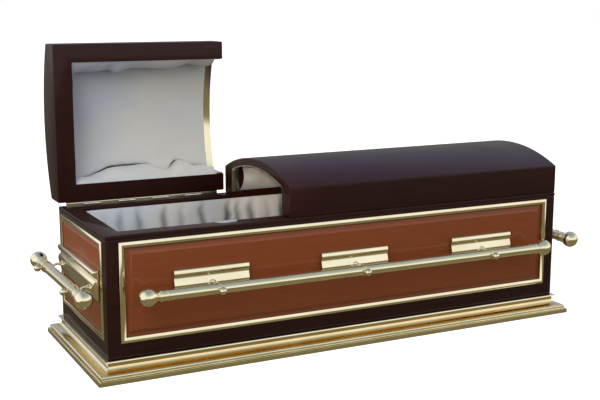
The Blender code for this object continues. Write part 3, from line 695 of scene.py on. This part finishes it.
def make_lid_trim(which):
    """The brass band that edges a leaf's hollow at the parting."""
    low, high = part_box(f"{which}_lid_trim")
    outer = dome_outline(LID_SIDE + FIT, DOME_THICKNESS + FIT, TRIM_START, LID_FILLET)
    depth = FIT + TRIM_THICKNESS
    inner = dome_outline(LID_SIDE + depth, DOME_THICKNESS + depth, TRIM_START, LID_FILLET - TRIM_THICKNESS)
    band = prism(outer + list(reversed(inner)), low.x, high.x)
    mesh = cut(f"{which}_lid_brass_trim", band, [], FINE_ROUND, 2)
    add_piece(mesh, lid_matrix(which), "brass", f"{which}_lid", [f"{which}_lid_trim"])


def make_body_shell():
    """The box's walls with softly rounded corners and a pocket for each panel."""
    inside = block(
        MIDDLE + Vector((-HALF_LENGTH + WALL, -HALF_WIDTH + WALL, shell_low.z + FLOOR)),
        MIDDLE + Vector((HALF_LENGTH - WALL, HALF_WIDTH - WALL, shell_high.z + WALL)),
    )
    cutters = [inside]
    for side in SIDES:
        middle, half_u, half_v = measured(side, f"{side}_frame")
        pocket = block((-half_u - FIT, -POCKET_DEPTH, -half_v - FIT), (half_u + FIT, WALL, half_v + FIT))
        pocket.transform(face_place(side, middle.z))
        cutters.append(pocket)
    mesh = cut("body_wood", block(shell_low, shell_high), cutters, EDGE_ROUND, 4)
    add_piece(mesh, Matrix(), "dark", "casket", ["body_shell"])


def make_rim():
    """The ledge round the mouth of the box, rounded above on both edges."""
    low, high = rim_low.z, rim_high.z
    section = [(-RIM_WIDTH, low), (0, low)]
    section += arc((-EDGE_ROUND, high - EDGE_ROUND), EDGE_ROUND, 0, 90, 5)
    section += arc((-RIM_WIDTH + EDGE_ROUND, high - EDGE_ROUND), EDGE_ROUND, 90, 180, 5)
    mesh = rows_mesh("rim_wood", frame_rows(HALF_LENGTH, HALF_WIDTH, section), loop=True, ring=True)
    add_piece(mesh, AT_MIDDLE, "dark", "casket", ["body_rim"])


def make_panel(side):
    """A raised panel: a flat field with a bevel down to a groove beside the frame."""
    middle, half_u, half_v = measured(side, f"{side}_frame")
    half_u, half_v = half_u - FRAME_WIDTH - FIT, half_v - FRAME_WIDTH - FIT
    bevel, proud = PANEL_BEVELS[kind_of(side)]
    groove, deep = PANEL_GROOVES[kind_of(side)]
    profile = [(0.0, FIT - POCKET_DEPTH), (0.0, -deep), (-groove, -deep), (-groove - bevel, proud),
               (-groove - bevel * 2, proud)]
    # Only the corners along the groove and the bevel are rounded.
    section = [profile[0]] + rounded(profile, PANEL_ROUND, 6)[7:28]
    columns = [list(column) for column in zip(*upright_rows(half_u, half_v, section))]
    mesh = rows_mesh(f"{side}_panel_wood", columns, loop=True, caps=True, angle=40)
    add_piece(mesh, face_place(side, middle.z), f"{kind_of(side)}_panel", "casket", [f"{side}_panel"])


# Brass


def paint_cove_reflections(mesh, low, high):
    """Gives the plinth's two long coves, between two heights, a painted reflection of the tan panels: deeper
    gold.
    """
    mesh.materials.append(materials["painted_cove_reflection"])
    for face in mesh.polygons:
        long_side = abs(face.normal.x) < LONG_SIDE_LEAN and abs(face.center.y - MIDDLE.y) > HALF_WIDTH
        if long_side and low < face.center.z < high:
            face.material_index = 1


def make_plinth():
    """The stepped brass moulding round the foot of the box."""
    nose_low = PLINTH_FOOT_HEIGHT + PLINTH_QUIRK
    nose_high = nose_low + PLINTH_NOSE_HEIGHT
    nose_centre = (PLINTH_NOSE_REACH - PLINTH_NOSE_HEIGHT / 2, (nose_low + nose_high) / 2)
    nose = arc(nose_centre, PLINTH_NOSE_HEIGHT / 2, -90, 90, 16)
    lip_low = PLINTH_HEIGHT - PLINTH_LIP_THICKNESS
    cove_top = (PLINTH_COVE_REACH, lip_low - PLINTH_FILLET)
    cove_low = (nose_centre[0] - PLINTH_NOSE_SETBACK, nose_high)
    width, height = cove_low[0] - cove_top[0], cove_top[1] - cove_low[1]
    cove = []
    for i in range(1, COVE_STEPS + 1):
        turn = math.radians(90 * i / COVE_STEPS)
        inward, upward = math.sin(turn) ** COVE_SQUARENESS, 1 - math.cos(turn) ** COVE_SQUARENESS
        cove.append((cove_low[0] - width * inward, cove_low[1] + height * upward))
    foot = [(-PLINTH_LEDGE, 0), (PLINTH_FOOT_REACH, 0), (PLINTH_FOOT_REACH, PLINTH_FOOT_HEIGHT),
            (nose_centre[0], PLINTH_FOOT_HEIGHT)]
    lip = [(cove_top[0], lip_low), (PLINTH_LIP_REACH, lip_low),
           (PLINTH_LIP_REACH - PLINTH_LIP_SLOPE, PLINTH_HEIGHT), (-PLINTH_LEDGE, PLINTH_HEIGHT)]
    section = rounded(foot, FINE_ROUND)[4:12] + [foot[3]] + nose + cove + rounded(lip, FINE_ROUND)[:12]
    section = [foot[0]] + section + [lip[3]]
    mesh = rows_mesh("plinth_brass", frame_rows(HALF_LENGTH, HALF_WIDTH, section), loop=True, ring=True)
    add_piece(mesh, AT_MIDDLE, "brass", "casket", ["plinth_moulding"])
    paint_cove_reflections(mesh, nose_high, lip_low)


def make_frame(side):
    """The brass moulding round a panel: two gentle slopes that meet in a soft ridge."""
    middle, half_u, half_v = measured(side, f"{side}_frame")
    section = [(-FRAME_WIDTH, FIT - POCKET_DEPTH), (0, FIT - POCKET_DEPTH)] + FRAME_SECTION
    mesh = rows_mesh(f"{side}_frame_brass", upright_rows(half_u, half_v, section), loop=True, ring=True)
    add_piece(mesh, face_place(side, middle.z), "brass", "casket", [f"{side}_frame"])


def bar_place(side):
    """A handle's own frame, at the middle of its bar: X along it, Y out and Z up."""
    matrix = face_place(side)
    matrix.translation = measured(side, f"{side}_bar")[0]
    return matrix


def tip_profile():
    """The turned end of a bar as (radius, x) from its face on the bar to its pole."""
    reach = math.hypot(NECK_RADIUS, NECK_PLACE)
    touch = math.degrees(math.atan2(-NECK_PLACE, NECK_RADIUS) + math.acos(BALL_RADIUS / reach))
    collar_start = NECK_PLACE + COLLAR_BEAD
    groove = COLLAR_RADIUS - COLLAR_GROOVE
    outline = [(0.0, -COLLAR_END), (groove, -COLLAR_END)]
    for place in (COLLAR_END - COLLAR_BEAD, collar_start + 3 * COLLAR_BEAD, collar_start + COLLAR_BEAD):
        outline += arc((COLLAR_RADIUS - COLLAR_BEAD, -place), COLLAR_BEAD, -65, 65, 6)
        if place == COLLAR_END - COLLAR_BEAD:
            outline += [(groove, -place + COLLAR_BEAD), (groove, -collar_start - 4 * COLLAR_BEAD)]
    outline += [(NECK_RADIUS + COLLAR_GROOVE, -collar_start), (NECK_RADIUS, -NECK_PLACE)]
    return outline + arc((0, 0), BALL_RADIUS, touch, 90, 24)[:-1] + [(0.0, BALL_RADIUS)]


def tube_rows(centres, outs, overs, radii, sides):
    """Rings round a line of centres, each in the plane of its own two directions."""
    turns = [2 * math.pi * k / sides for k in range(sides)]
    rings = zip(centres, outs, overs, radii)
    return [[c + (o * math.cos(t) + v * math.sin(t)) * r for t in turns] for c, o, v, r in rings]


def arm_mesh(name, span, pivot_height, bar_radius):
    """An arm: a ring about the bar, a bowed stem back to the pivot, and a ball cap in front."""
    half = RING_WIDTH / 2
    ring = rounded([(bar_radius + FIT, -half), (RING_RADIUS, -half), (RING_RADIUS, half),
                    (bar_radius + FIT, half)], RING_ROUND, 4)
    band = turned("ring", ring, 48, ring=True)
    neck_start = bar_radius + ARM_BAR_GAP
    path, steps = [], 14
    for i in range(steps + 1):
        share = i / steps
        rise = pivot_height * (1 - share) + ARM_ARCH * math.sin(math.pi * share)
        path.append(Vector((0, -span * (1 - share) - neck_start * share, rise)))
    across = Vector((1, 0, 0))
    overs, radii = [], []
    for i in range(steps + 1):
        ahead = path[min(i + 1, steps)] - path[i - 1] if i else Vector((0, 1, 0))
        overs.append(ahead.normalized().cross(across))
        radii.append(ARM_RADIUS * (1 + ARM_FLARE * abs(2 * i / steps - 1) ** 3))
    stem = rows_mesh("stem", tube_rows(path, [across] * len(path), overs, radii, 20), loop=True, caps=True)
    lower = math.degrees(math.asin(CAP_NECK_RADIUS / CAP_RADIUS)) - 90
    profile = [(0.0, neck_start), (CAP_NECK_RADIUS, neck_start)]
    profile += arc((0, CAP_REACH), CAP_RADIUS, lower, 90, 20)[:-1] + [(0.0, CAP_REACH + CAP_RADIUS)]
    cap = turned("cap", profile, 32)
    cap.transform(Matrix.Rotation(math.radians(90), 4, "Z"))
    return joined(name, [band, stem, cap], 40)


def pivot_mesh(pivot, place):
    """A pivot pin along X with a ball at each end."""
    half = PIVOT_LENGTH / 2
    profile = []
    for sign in (-1, 1):
        ends = arc((0, sign * (half - PIVOT_BALL_RADIUS)), PIVOT_BALL_RADIUS, -90 * sign, 40 * sign, 10)
        profile += ends if sign < 0 else list(reversed(ends))
    profile[0], profile[-1] = (0.0, -half), (0.0, half)
    profile.sort(key=lambda point: point[1])
    mesh = turned("pivot", profile, 24)
    mesh.transform(Matrix.Translation((place, pivot[0], pivot[1])))
    return mesh


def hood_mesh(pivot, place):
    """A small raised arch over the pivot."""
    steps = 20
    turns = [math.radians(180 * i / steps) for i in range(steps + 1)]
    outs = [Vector((math.cos(t), 0, math.sin(t))) for t in turns]
    middle = Vector((place, pivot[0] - HOOD_SINK, pivot[1]))
    centres = [middle + out * HOOD_RADIUS for out in outs]
    ring_count = len(outs)
    rows = tube_rows(centres, outs, [Vector((0, 1, 0))] * ring_count, [HOOD_TUBE] * ring_count, 16)
    return rows_mesh("hood", rows, loop=True, caps=True)


def lug_mesh(name, width, section, pivot, places):
    """A lug: its section along X with eased edges, and a pivot and hood for each arm."""
    solid = prism(rounded(section, LUG_ROUND, 2), -width / 2, width / 2)
    parts = [cut("lug", solid, [], FINE_ROUND, 2)]
    for place in places:
        parts += [pivot_mesh(pivot, place), hood_mesh(pivot, place)]
    return joined(name, parts, 30)


def make_handle(side):
    """A bar handle: the bar, its two tips, the arms and the lugs behind them."""
    kind = kind_of(side)
    centre, half, radius = measured(side, f"{side}_bar")
    place = bar_place(side)
    bar = turned(f"{side}_rail", [(radius, -half), (radius, half)], 64, caps=True)
    add_piece(bar, place, "brass", "casket", [f"{side}_bar"])
    for number, sign in enumerate((-1, 1), 1):
        mesh = turned(f"{side}_rail_tip_{number}", tip_profile(), 48)
        shift = Matrix.Translation((sign * (half + FIT + COLLAR_END), 0, 0))
        turn = Matrix.Rotation(0 if sign > 0 else math.pi, 4, "Z")
        add_piece(mesh, place @ shift @ turn, "brass", "casket", [tip_at(side, sign)])
    pivot = SIDE_PIVOT if kind == "side" else END_PIVOT
    section = SIDE_LUG_SECTION if kind == "side" else END_LUG_SECTION
    arms = sorted(name for name in frame["nodes"] if name.startswith(f"{side}_arm"))
    lugs = sorted(name for name in frame["nodes"] if name.startswith(f"{side}_lug"))
    proud = PANEL_BEVELS[kind][1] + FIT
    face = face_place(side)
    reach = (face.inverted() @ centre).y
    span = reach - proud - pivot[0] - PIVOT_RADIUS + ARM_PIVOT_OVERLAP
    spots = {name: (face.inverted() @ measured(side, name)[0]).x for name in arms + lugs}
    for name in arms:
        mesh = arm_mesh(f"{name}_brass", span, pivot[1], radius)
        add_piece(mesh, place @ Matrix.Translation((spots[name], 0, 0)), "brass", "casket", [name])
    for name in lugs:
        width = 2 * measured(side, name)[1]
        places = [spots[arm] - spots[name] for arm in arms] if kind == "end" else [0]
        mesh = lug_mesh(f"{name}_brass", width, section, pivot, places)
        add_piece(mesh, face @ Matrix.Translation((spots[name], proud, centre.z)), "brass", "casket", [name])


def tip_at(side, sign):
    """The CAD node of the tip at one end of a side's bar."""
    tips = [f"{side}_bar_tip_{number}" for number in (1, 2)]
    return max(tips, key=lambda tip: (bar_place(side).inverted() @ measured(side, tip)[0]).x * sign)


def tube(inner, outer, start, end):
    """A closed tube along X with eased rims."""
    ease = BARREL_EASE
    profile = [(inner, start), (outer - ease, start), (outer, start + ease), (outer, end - ease),
               (outer - ease, end), (inner, end)]
    return turned("tube", profile, 32, ring=True)


def screw_head():
    """A low domed screw head round the X axis, from its face outward."""
    profile = [(0, 0), (SCREW_RADIUS, 0), (SCREW_RADIUS * 0.9, SCREW_RISE), (0, SCREW_RISE * 1.6)]
    return turned("screw", profile, 20)


def hinge_leaf(name, spans, start, end, far):
    """A hinge leaf about the hinge's axis: its plate, its own knuckles and a row of screw heads."""
    way = 1 if far > 0 else -1
    front = -HINGE_OFFSET + FIT
    clear = way * (BARREL_RADIUS + KNUCKLE_GAP)
    parts = [block((start, front, min(clear, far)), (end, front + LEAF_THICKNESS, max(clear, far)))]
    for low, high in spans:
        parts.append(tube(BORE_RADIUS, BARREL_RADIUS, low, high))
        reach = sorted((way * BORE_RADIUS, clear + way * LEAF_THICKNESS))
        parts.append(block((low, front, reach[0]), (high, front + LEAF_THICKNESS, reach[1])))
        head = screw_head()
        place = Matrix.Translation(((low + high) / 2, front + LEAF_THICKNESS, (clear + far) / 2))
        head.transform(place @ Matrix.Rotation(math.radians(90), 4, "Z"))
        parts.append(head)
    return joined(name, parts, 30)


def make_hinge(which):
    """A piano hinge: a leaf on the box and a leaf on the lid, whose knuckles take turns, and the pin."""
    axis = HINGES[f"{which}_lid_hinge"]
    low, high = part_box(f"{which}_hinge_pin")
    count = round((high.x - low.x) / KNUCKLE)
    spans = []
    for index in range(count):
        start = low.x + index * KNUCKLE + (KNUCKLE_GAP / 2 if index else 0)
        end = low.x + (index + 1) * KNUCKLE - (KNUCKLE_GAP / 2 if index < count - 1 else 0)
        spans.append((start, end))
    over_axis = Matrix.Translation((0, axis.y, axis.z))
    lid_place = over_axis @ Matrix.Rotation(math.radians(-90 if which == "head" else 0), 4, "X")
    leaves = (("body_leaf", spans[0::2], -LEAF_HEIGHT - HINGE_RISE, over_axis, "casket"),
              ("lid_leaf", spans[1::2], LEAF_HEIGHT - HINGE_RISE, lid_place, f"{which}_lid"))
    for part, own, far, place, body in leaves:
        mesh = hinge_leaf(f"{which}_{part}_brass", own, low.x, high.x, far)
        add_piece(mesh, place, "brass", body, [f"{which}_hinge_{part}"])
    profile = [(0, low.x), (PIN_RADIUS, low.x), (PIN_RADIUS, high.x), (0, high.x)]
    pin = turned(f"{which}_pin_brass", profile, 20)
    add_piece(pin, over_axis, "brass", "casket", [f"{which}_hinge_pin"])


# Linings


def curve_value(points, places):
    """A smooth curve through (place, value) points, read at many places."""
    xs = np.array([point[0] for point in points])
    ys = np.array([point[1] for point in points])
    slopes = np.gradient(ys, xs)
    index = np.clip(np.searchsorted(xs, places) - 1, 0, len(xs) - 2)
    width = xs[index + 1] - xs[index]
    t = np.clip((places - xs[index]) / width, 0, 1)
    from_start = (2 * t**3 - 3 * t**2 + 1) * ys[index] + (t**3 - 2 * t**2 + t) * width * slopes[index]
    to_end = (-2 * t**3 + 3 * t**2) * ys[index + 1] + (t**3 - t**2) * width * slopes[index + 1]
    return from_start + to_end


def ripple(x, y, depth, size, seed):
    """Smooth seeded unevenness up to a depth either way, with a size in metres."""
    return depth * noise.noise(Vector((x / size, y / size, seed)))


def crease_tuck(away, share):
    """How deep the lining is drawn in at a distance from a crease: a wide dip with a slit in it."""
    dip, slit = math.exp(-away / CREASE_WIDTH), math.exp(-away / SLIT_WIDTH)
    return share * (CREASE_DEPTH * dip + SLIT_DEPTH * slit)


def crease_shade(x, away, share):
    """How much painted shade the lining gets at a distance from a crease: a fine dark line with patchy shade
    beside it.
    """
    patch = max(0.0, CREASE_SHADE_PATCH_BASE + ripple(x, 0, *CREASE_SHADE_PATCH))
    return share * min(1.0, math.exp(-(away / CREASE_SHADE_WIDTH) ** 2) + patch * math.exp(-away / CREASE_SHADE_SOFTNESS))


def roll_wall(x, sign, crease, depth, share, first):
    """The padded roll down one long side of a lid, from the wood's edge to its crease, and its painted
    shade.
    """
    edge = HALF_WIDTH - LID_SIDE - FIT
    wall, shades = [], []
    for i in range(WALL_STEPS + 1):
        t = 1 - (1 - i / WALL_STEPS) ** 1.5
        swell = math.sin(math.pi * min(t * 1.02, 1)) ** 0.7
        y = edge + (crease - edge) * (1 - (1 - t) ** 2.6) - ROLL_SWELL * swell
        z = first + (depth - first) * t
        fold = swell * ripple(x + z * 0.9, z * 0.6, *ROLL_FOLDS[sign])
        away = (1 - t) * depth
        tuck = crease_tuck(away, share)
        wall.append((x, sign * (y - fold + tuck * 0.3), z + tuck))
        # Painted shade: the crease's dark line, and more on the back roll
        shades.append(max(crease_shade(x, away, share), BACK_ROLL_SHADE * t if sign > 0 else 0.0))
    return wall, shades


def dome_row(x, near, far, back_share, from_end):
    """The stretched middle of a lid's lining at one place along it, between its creases, and its painted
    shade.
    """
    radius, centre_z = dome_circle(DOME_THICKNESS + LID_LINING)
    dome, shades = [], []
    for i in range(1, DOME_STEPS):
        t = i / DOME_STEPS
        t -= DOME_CROWDING * math.sin(2 * math.pi * t) / (2 * math.pi)
        y = -near + (far + near) * t
        away, share = min(y + near, far - y), 1.0 if y < 0 else back_share
        pucker = ripple(x, y * 0.12, *PUCKER) * math.exp(-away / PUCKER_REACH)
        tight = END_TUCK * math.exp(-from_end / END_TUCK_WIDTH)
        billow = ripple(x, y, *BILLOW) * min(1, away / BILLOW_EDGE)
        sunk = crease_tuck(away, share) + pucker + tight + billow
        dome.append((x, y, centre_z + math.sqrt(radius**2 - y**2) + sunk))
        shades.append(crease_shade(x, away, share))
    return dome, shades


def make_lid_lining(which):
    """A leaf's satin lining: a stretched middle between two padded rolls, and a padded end."""
    low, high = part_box(f"{which}_lid_lining")
    count = round((high.x - low.x) / LINING_STEP)
    xs = np.linspace(low.x, high.x, count + 1)
    if which == "head":
        creases = [curve_value(points, xs) for points in (HEAD_FRONT_CREASE, HEAD_BACK_CREASE)]
        back_shares = curve_value(HEAD_BACK_DEPTH, xs)
    else:
        creases = [[reach + ripple(x, 0, *sway) + ripple(x, 0, *wobble) for x in xs]
                   for reach, sway, wobble in FOOT_CREASES]
        back_shares = np.ones(count + 1)
    radius, centre_z = dome_circle(DOME_THICKNESS + LID_LINING)
    closed = low.x if which == "head" else high.x
    rows, painted_shades = [], []
    for x, front, back, back_share in zip(xs, *creases, back_shares):
        sides = []
        for sign, crease, share in ((-1, front, 1.0), (1, back, back_share)):
            depth = centre_z + math.sqrt(radius**2 - crease**2)
            sides.append(roll_wall(x, sign, crease, depth, share, ROLL_STARTS[which]))
        (front_wall, front_shades), (back_wall, back_shades) = sides
        dome, dome_shades = dome_row(x, front, back, back_share, abs(x - closed))
        rows.append(front_wall + dome + back_wall[::-1])
        painted_shades.append(front_shades + dome_shades + back_shades[::-1])
    # Painted shade over the whole lid lining, at least its lid's share
    painted_shades = np.maximum(painted_shades, LID_SHADES[which])
    mesh = rows_mesh(f"{which}_lid_satin", rows, angle=180, painted_shades=painted_shades)
    piece = add_piece(mesh, lid_matrix(which), "satin", f"{which}_lid", [f"{which}_lid_lining"])
    make_lid_end_pad(which, closed, rows[0] if which == "head" else rows[-1])


def make_lid_end_pad(which, closed, outline):
    """The padded satin wall at a leaf's closed end, inside the outline where the lining meets it."""
    inward = 1 if which == "head" else -1
    middle = Vector((0, END_MIDDLE))
    rows = []
    for k in range(END_RINGS + 1):
        share = k / END_RINGS
        row = []
        for point in outline:
            spot = Vector(point[1:]).lerp(middle, share)
            low = min(1, max(0, spot.y - ROLL_STARTS[which]) / END_PUFF_EDGE)
            puff = END_PUFF * (1 - (1 - min(1, share * 2.2)) ** 2) * low**0.5
            fold = ripple(spot.x, spot.y, *END_FOLD) * min(1, share * 4)
            row.append((closed + inward * (puff + fold), spot.x, spot.y))
        rows.append(row)
    mesh = rows_mesh(f"{which}_lid_end_satin", rows, angle=180)
    piece = add_piece(mesh, lid_matrix(which), "satin", f"{which}_lid")


def gather_depth(point, normal, s, sway):
    """How deep a fold the hanging lining has: set folds on the bared back wall, else even ones."""
    phase = (s + sway) / GATHER_PERIOD + ripple(s, 0, *GATHER_DRIFT)
    fullness = max(0.15, 0.75 + ripple(s, 0, *GATHER_FULLNESS))
    even = (0.5 + 0.5 * math.cos(2 * math.pi * phase)) ** 3 * fullness
    if normal.y < 0.9:
        return even
    along = point.x + sway
    own = max(depth * math.exp(-((along - place) / GATHER_WIDTH) ** 2) for place, depth in BACK_GATHERS)
    blend = min(1.0, max(0.0, (BACK_GATHERS_END - point.x) / BACK_GATHERS_FADE))
    return own * blend + even * (1 - blend)


def lining_line():
    """The line that the walls' lining hangs from, with round corners, as (place, outward, length so far)."""
    inner_x, inner_y = (half - RIM_WIDTH + BODY_LINING_PROUD for half in (HALF_LENGTH, HALF_WIDTH))
    corner = BODY_LINING_CORNER
    path = []
    for sx, sy, turn in ((1, -1, -90), (1, 1, 0), (-1, 1, 90), (-1, -1, 180)):
        centre = (sx * (inner_x - corner), sy * (inner_y - corner))
        for point in arc(centre, corner, turn, turn + 90, 10):
            path.append((Vector(point), Vector(point) - Vector(centre)))
    line, length = [], 0.0
    for index, (point, out) in enumerate(path):
        after, after_out = path[(index + 1) % len(path)]
        gap = (after - point).length
        pieces = max(1, round(gap / LINING_STEP))
        for k in range(pieces):
            share = k / pieces
            normal = (out * (1 - share) + after_out * share).normalized()
            line.append((point.lerp(after, share), normal, length + gap * share))
        length += gap
    return line


def make_body_lining():
    """The box's satin lining: gathered walls that hang from under the rim down to the padded floor."""
    low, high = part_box("body_lining")
    floor = low.z + BODY_LINING_FLOOR
    line = lining_line()
    rows, painted_shades = [], []
    for level in range(BODY_LINING_LEVELS + 1):
        t = level / BODY_LINING_LEVELS
        z = high.z + (floor - high.z) * t
        hang = math.sin(math.pi * min(1, t + 0.03)) ** 0.6
        grown = min(1.0, 0.25 + t / 0.22)
        row, shades = [], []
        for point, normal, s in line:
            sway = ripple(s, z * 2, *GATHER_SWAY)
            valley = gather_depth(point, normal, s, sway) * grown
            soft = ripple(s, z, *BELLY_DIMPLE)
            place = point - normal * hang * (BELLY + GATHER_FOLD * (1 - valley) + soft)
            row.append((place.x, place.y, z))
            # Painted shade down in each gather's valley
            shades.append(min(1.0, GATHER_SHADE * valley**1.5))
        rows.append(row)
        painted_shades.append(shades)
    mesh = rows_mesh("body_satin", rows, loop=True, angle=180, painted_shades=painted_shades)
    piece = add_piece(mesh, AT_MIDDLE, "satin", "casket", ["body_lining"])


def make_tuft():
    """A fold of the front lining that has been pulled over the rim."""
    inner = -HALF_WIDTH + RIM_WIDTH
    ends = np.array(TUFT_LINE)
    steps = np.linspace(0, len(ends) - 1, 25)
    outward, above = (np.interp(steps, range(len(ends)), ends[:, column]) for column in (0, 1))
    rows, painted_shades = [], []
    for i in range(41):
        across = i / 20 - 1
        share = math.sqrt(max(0.0, 1 - across**2))
        x = across * TUFT_REACH
        row, shades = [], []
        for out, up in zip(outward, above):
            crimp = share * max(0.0, ripple(x, out * 3, *TUFT_CRIMP))
            reach = out * share if out > 0 else out
            height = up * share + crimp if up > 0 else up
            row.append((TUFT_PLACE + x, inner - reach, BODY_TOP + height))
            # Painted shade: deep near the rim's inner edge, lighter further out, with uneven streaks
            base = TUFT_HOLLOW_SHADE if out < TUFT_HOLLOW else TUFT_SHADE
            shades.append(min(1.0, base + max(0.0, ripple(x, out, *TUFT_SHADE_STREAK))))
        rows.append(row)
        painted_shades.append(shades)
    mesh = rows_mesh("tuft_satin", rows, angle=180, painted_shades=painted_shades)
    piece = add_piece(mesh, AT_MIDDLE, "satin", "casket")
    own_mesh(piece)


def make_mattress():
    """The padded floor of the lining."""
    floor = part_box("body_lining")[0].z + MATTRESS_GAP
    half_x, half_y = (half - RIM_WIDTH - MATTRESS_GAP for half in (HALF_LENGTH, HALF_WIDTH))
    rows = []
    for x in np.linspace(-half_x, half_x, MATTRESS_STEPS[0] + 1):
        row = []
        for y in np.linspace(-half_y, half_y, MATTRESS_STEPS[1] + 1):
            edge = min(half_x - abs(x), half_y - abs(y))
            crown = MATTRESS_CROWN * (1 - math.exp(-edge / MATTRESS_EDGE))
            dimple = sum(ripple(x, y, *dimples) for dimples in MATTRESS_DIMPLES)
            row.append((x, y, floor + crown + dimple * min(1, edge / MATTRESS_FLAT)))
        rows.append(row)
    mesh = rows_mesh("mattress_satin", rows, angle=180)
    piece = add_piece(mesh, AT_MIDDLE, "satin", "casket")


# Studio


def make_camera():
    """The camera at the photograph's angle, with its slight roll."""
    data = bpy.data.cameras.new("camera")
    data.lens = CAMERA_LENS
    camera = link("camera", data)
    aim = CAMERA_FORWARD.to_track_quat("-Z", "Y").to_matrix().to_4x4()
    matrix = aim @ Matrix.Rotation(CAMERA_ROLL, 4, "Z")
    matrix.translation = MIDDLE + CAMERA_PLACE
    camera.matrix_world = matrix
    bpy.context.scene.camera = camera


def add_lamp(name, kind, place, target, power, colour, **shape):
    """A lamp with the settings of its shape, aimed at a point, that the gloss doesn't mirror."""
    data = bpy.data.lights.new(name, kind)
    for setting, value in shape.items():
        setattr(data, setting, value)
    data.energy = power
    data.color = colour
    light = link(name, data)
    light.location = MIDDLE + Vector(place)
    light.rotation_mode = "QUATERNION"
    light.rotation_quaternion = (Vector(target) - light.location).to_track_quat("-Z", "Y")
    light.visible_glossy = False


def make_lamps():
    """A large soft lamp on the left, a weak one on the right and a narrow one into the hollow."""
    for name, values in SOFT_LAMPS.items():
        add_lamp(name, "AREA", colour=WARM_WHITE, shape="SQUARE", **values)
    target = MIDDLE + Vector(HOLLOW_TARGET)
    add_lamp("hollow_fill", "SPOT", HOLLOW_PLACE, target, HOLLOW_POWER, HOLLOW_COLOUR, spot_blend=1.0,
             spot_size=math.radians(HOLLOW_ANGLE), shadow_soft_size=HOLLOW_LAMP_RADIUS)


def make_world():
    """The studio's light: an even dome, with a brighter band at the horizon for what the gloss mirrors."""
    world = bpy.data.worlds.new("studio")
    world.use_nodes = True
    bpy.context.scene.world = world
    tree = world.node_tree
    where = node(tree, "ShaderNodeTexCoord").outputs["Generated"]
    split = node(tree, "ShaderNodeSeparateXYZ", {"Vector": where})
    height = spread(tree, split.outputs["Z"], 0.0, 1.0, -1.0, 1.0)
    mirrored = stops_ramp(tree, height, BACK_BANDS)
    for bands, (side, start, end) in ((FRONT_BANDS, FRONT_SIDE), (LEFT_BANDS, LEFT_SIDE),
                                      (LOW_LEFT_BANDS, LOW_LEFT_SIDE)):
        toward = node(tree, "ShaderNodeVectorMath", {0: where, 1: side}, operation="DOT_PRODUCT")
        share = spread(tree, toward.outputs["Value"], 0.0, 1.0, start, end)
        mirrored = mixed(tree, share, mirrored, stops_ramp(tree, height, bands))
    dome = stops_ramp(tree, height, DOME_BANDS)
    path = node(tree, "ShaderNodeLightPath")
    lit = mixed(tree, path.outputs["Is Glossy Ray"], dome, mirrored)
    seen = mixed(tree, path.outputs["Is Camera Ray"], lit, (1, 1, 1, 1))
    tree.links.new(seen, tree.nodes["Background"].inputs["Color"])


def mixed(tree, share, first, second):
    """A colour between two."""
    return node(tree, "ShaderNodeMix", {0: share, 6: first, 7: second}, data_type="RGBA").outputs[2]


def stops_ramp(tree, factor, stops):
    """A colour ramp through (elevation in degrees, colour) stops, read by the sine of the elevation."""
    made = node(tree, "ShaderNodeValToRGB", {"Fac": factor})
    elements = made.color_ramp.elements
    while len(elements) < len(stops):
        elements.new(1.0)
    for element, (elevation, colour) in zip(elements, stops):
        element.position = 0.5 + 0.5 * math.sin(math.radians(elevation))
        element.color = (*colour, 1)
    return made.outputs["Color"]


def make_floor():
    """A wide pale floor."""
    ends = (-FLOOR_REACH, FLOOR_REACH)
    mesh = rows_mesh("studio_floor", [[(x, y, -FLOOR_DROP) for y in ends] for x in ends])
    paper = {"Base Color": (0.9, 0.9, 0.9, 1), "Roughness": 0.9, "Emission Color": (1, 1, 1, 1),
             "Emission Strength": FLOOR_GLOW}
    mesh.materials.append(base_material("studio_paper", paper)[0])
    floor = link("studio_floor", mesh)
    floor.visible_glossy = False
    floor.visible_diffuse = False


make_body_shell()
make_rim()
for side_name in SIDES:
    make_panel(side_name)
    make_frame(side_name)
    make_handle(side_name)
make_plinth()
for lid_name in ("head", "foot"):
    make_lid_shell(lid_name)
    make_lid_trim(lid_name)
    make_lid_lining(lid_name)
    make_hinge(lid_name)
make_body_lining()
make_tuft()
make_mattress()
make_camera()
make_world()
make_floor()
make_lamps()
bpy.context.scene.view_settings.view_transform = "Standard"
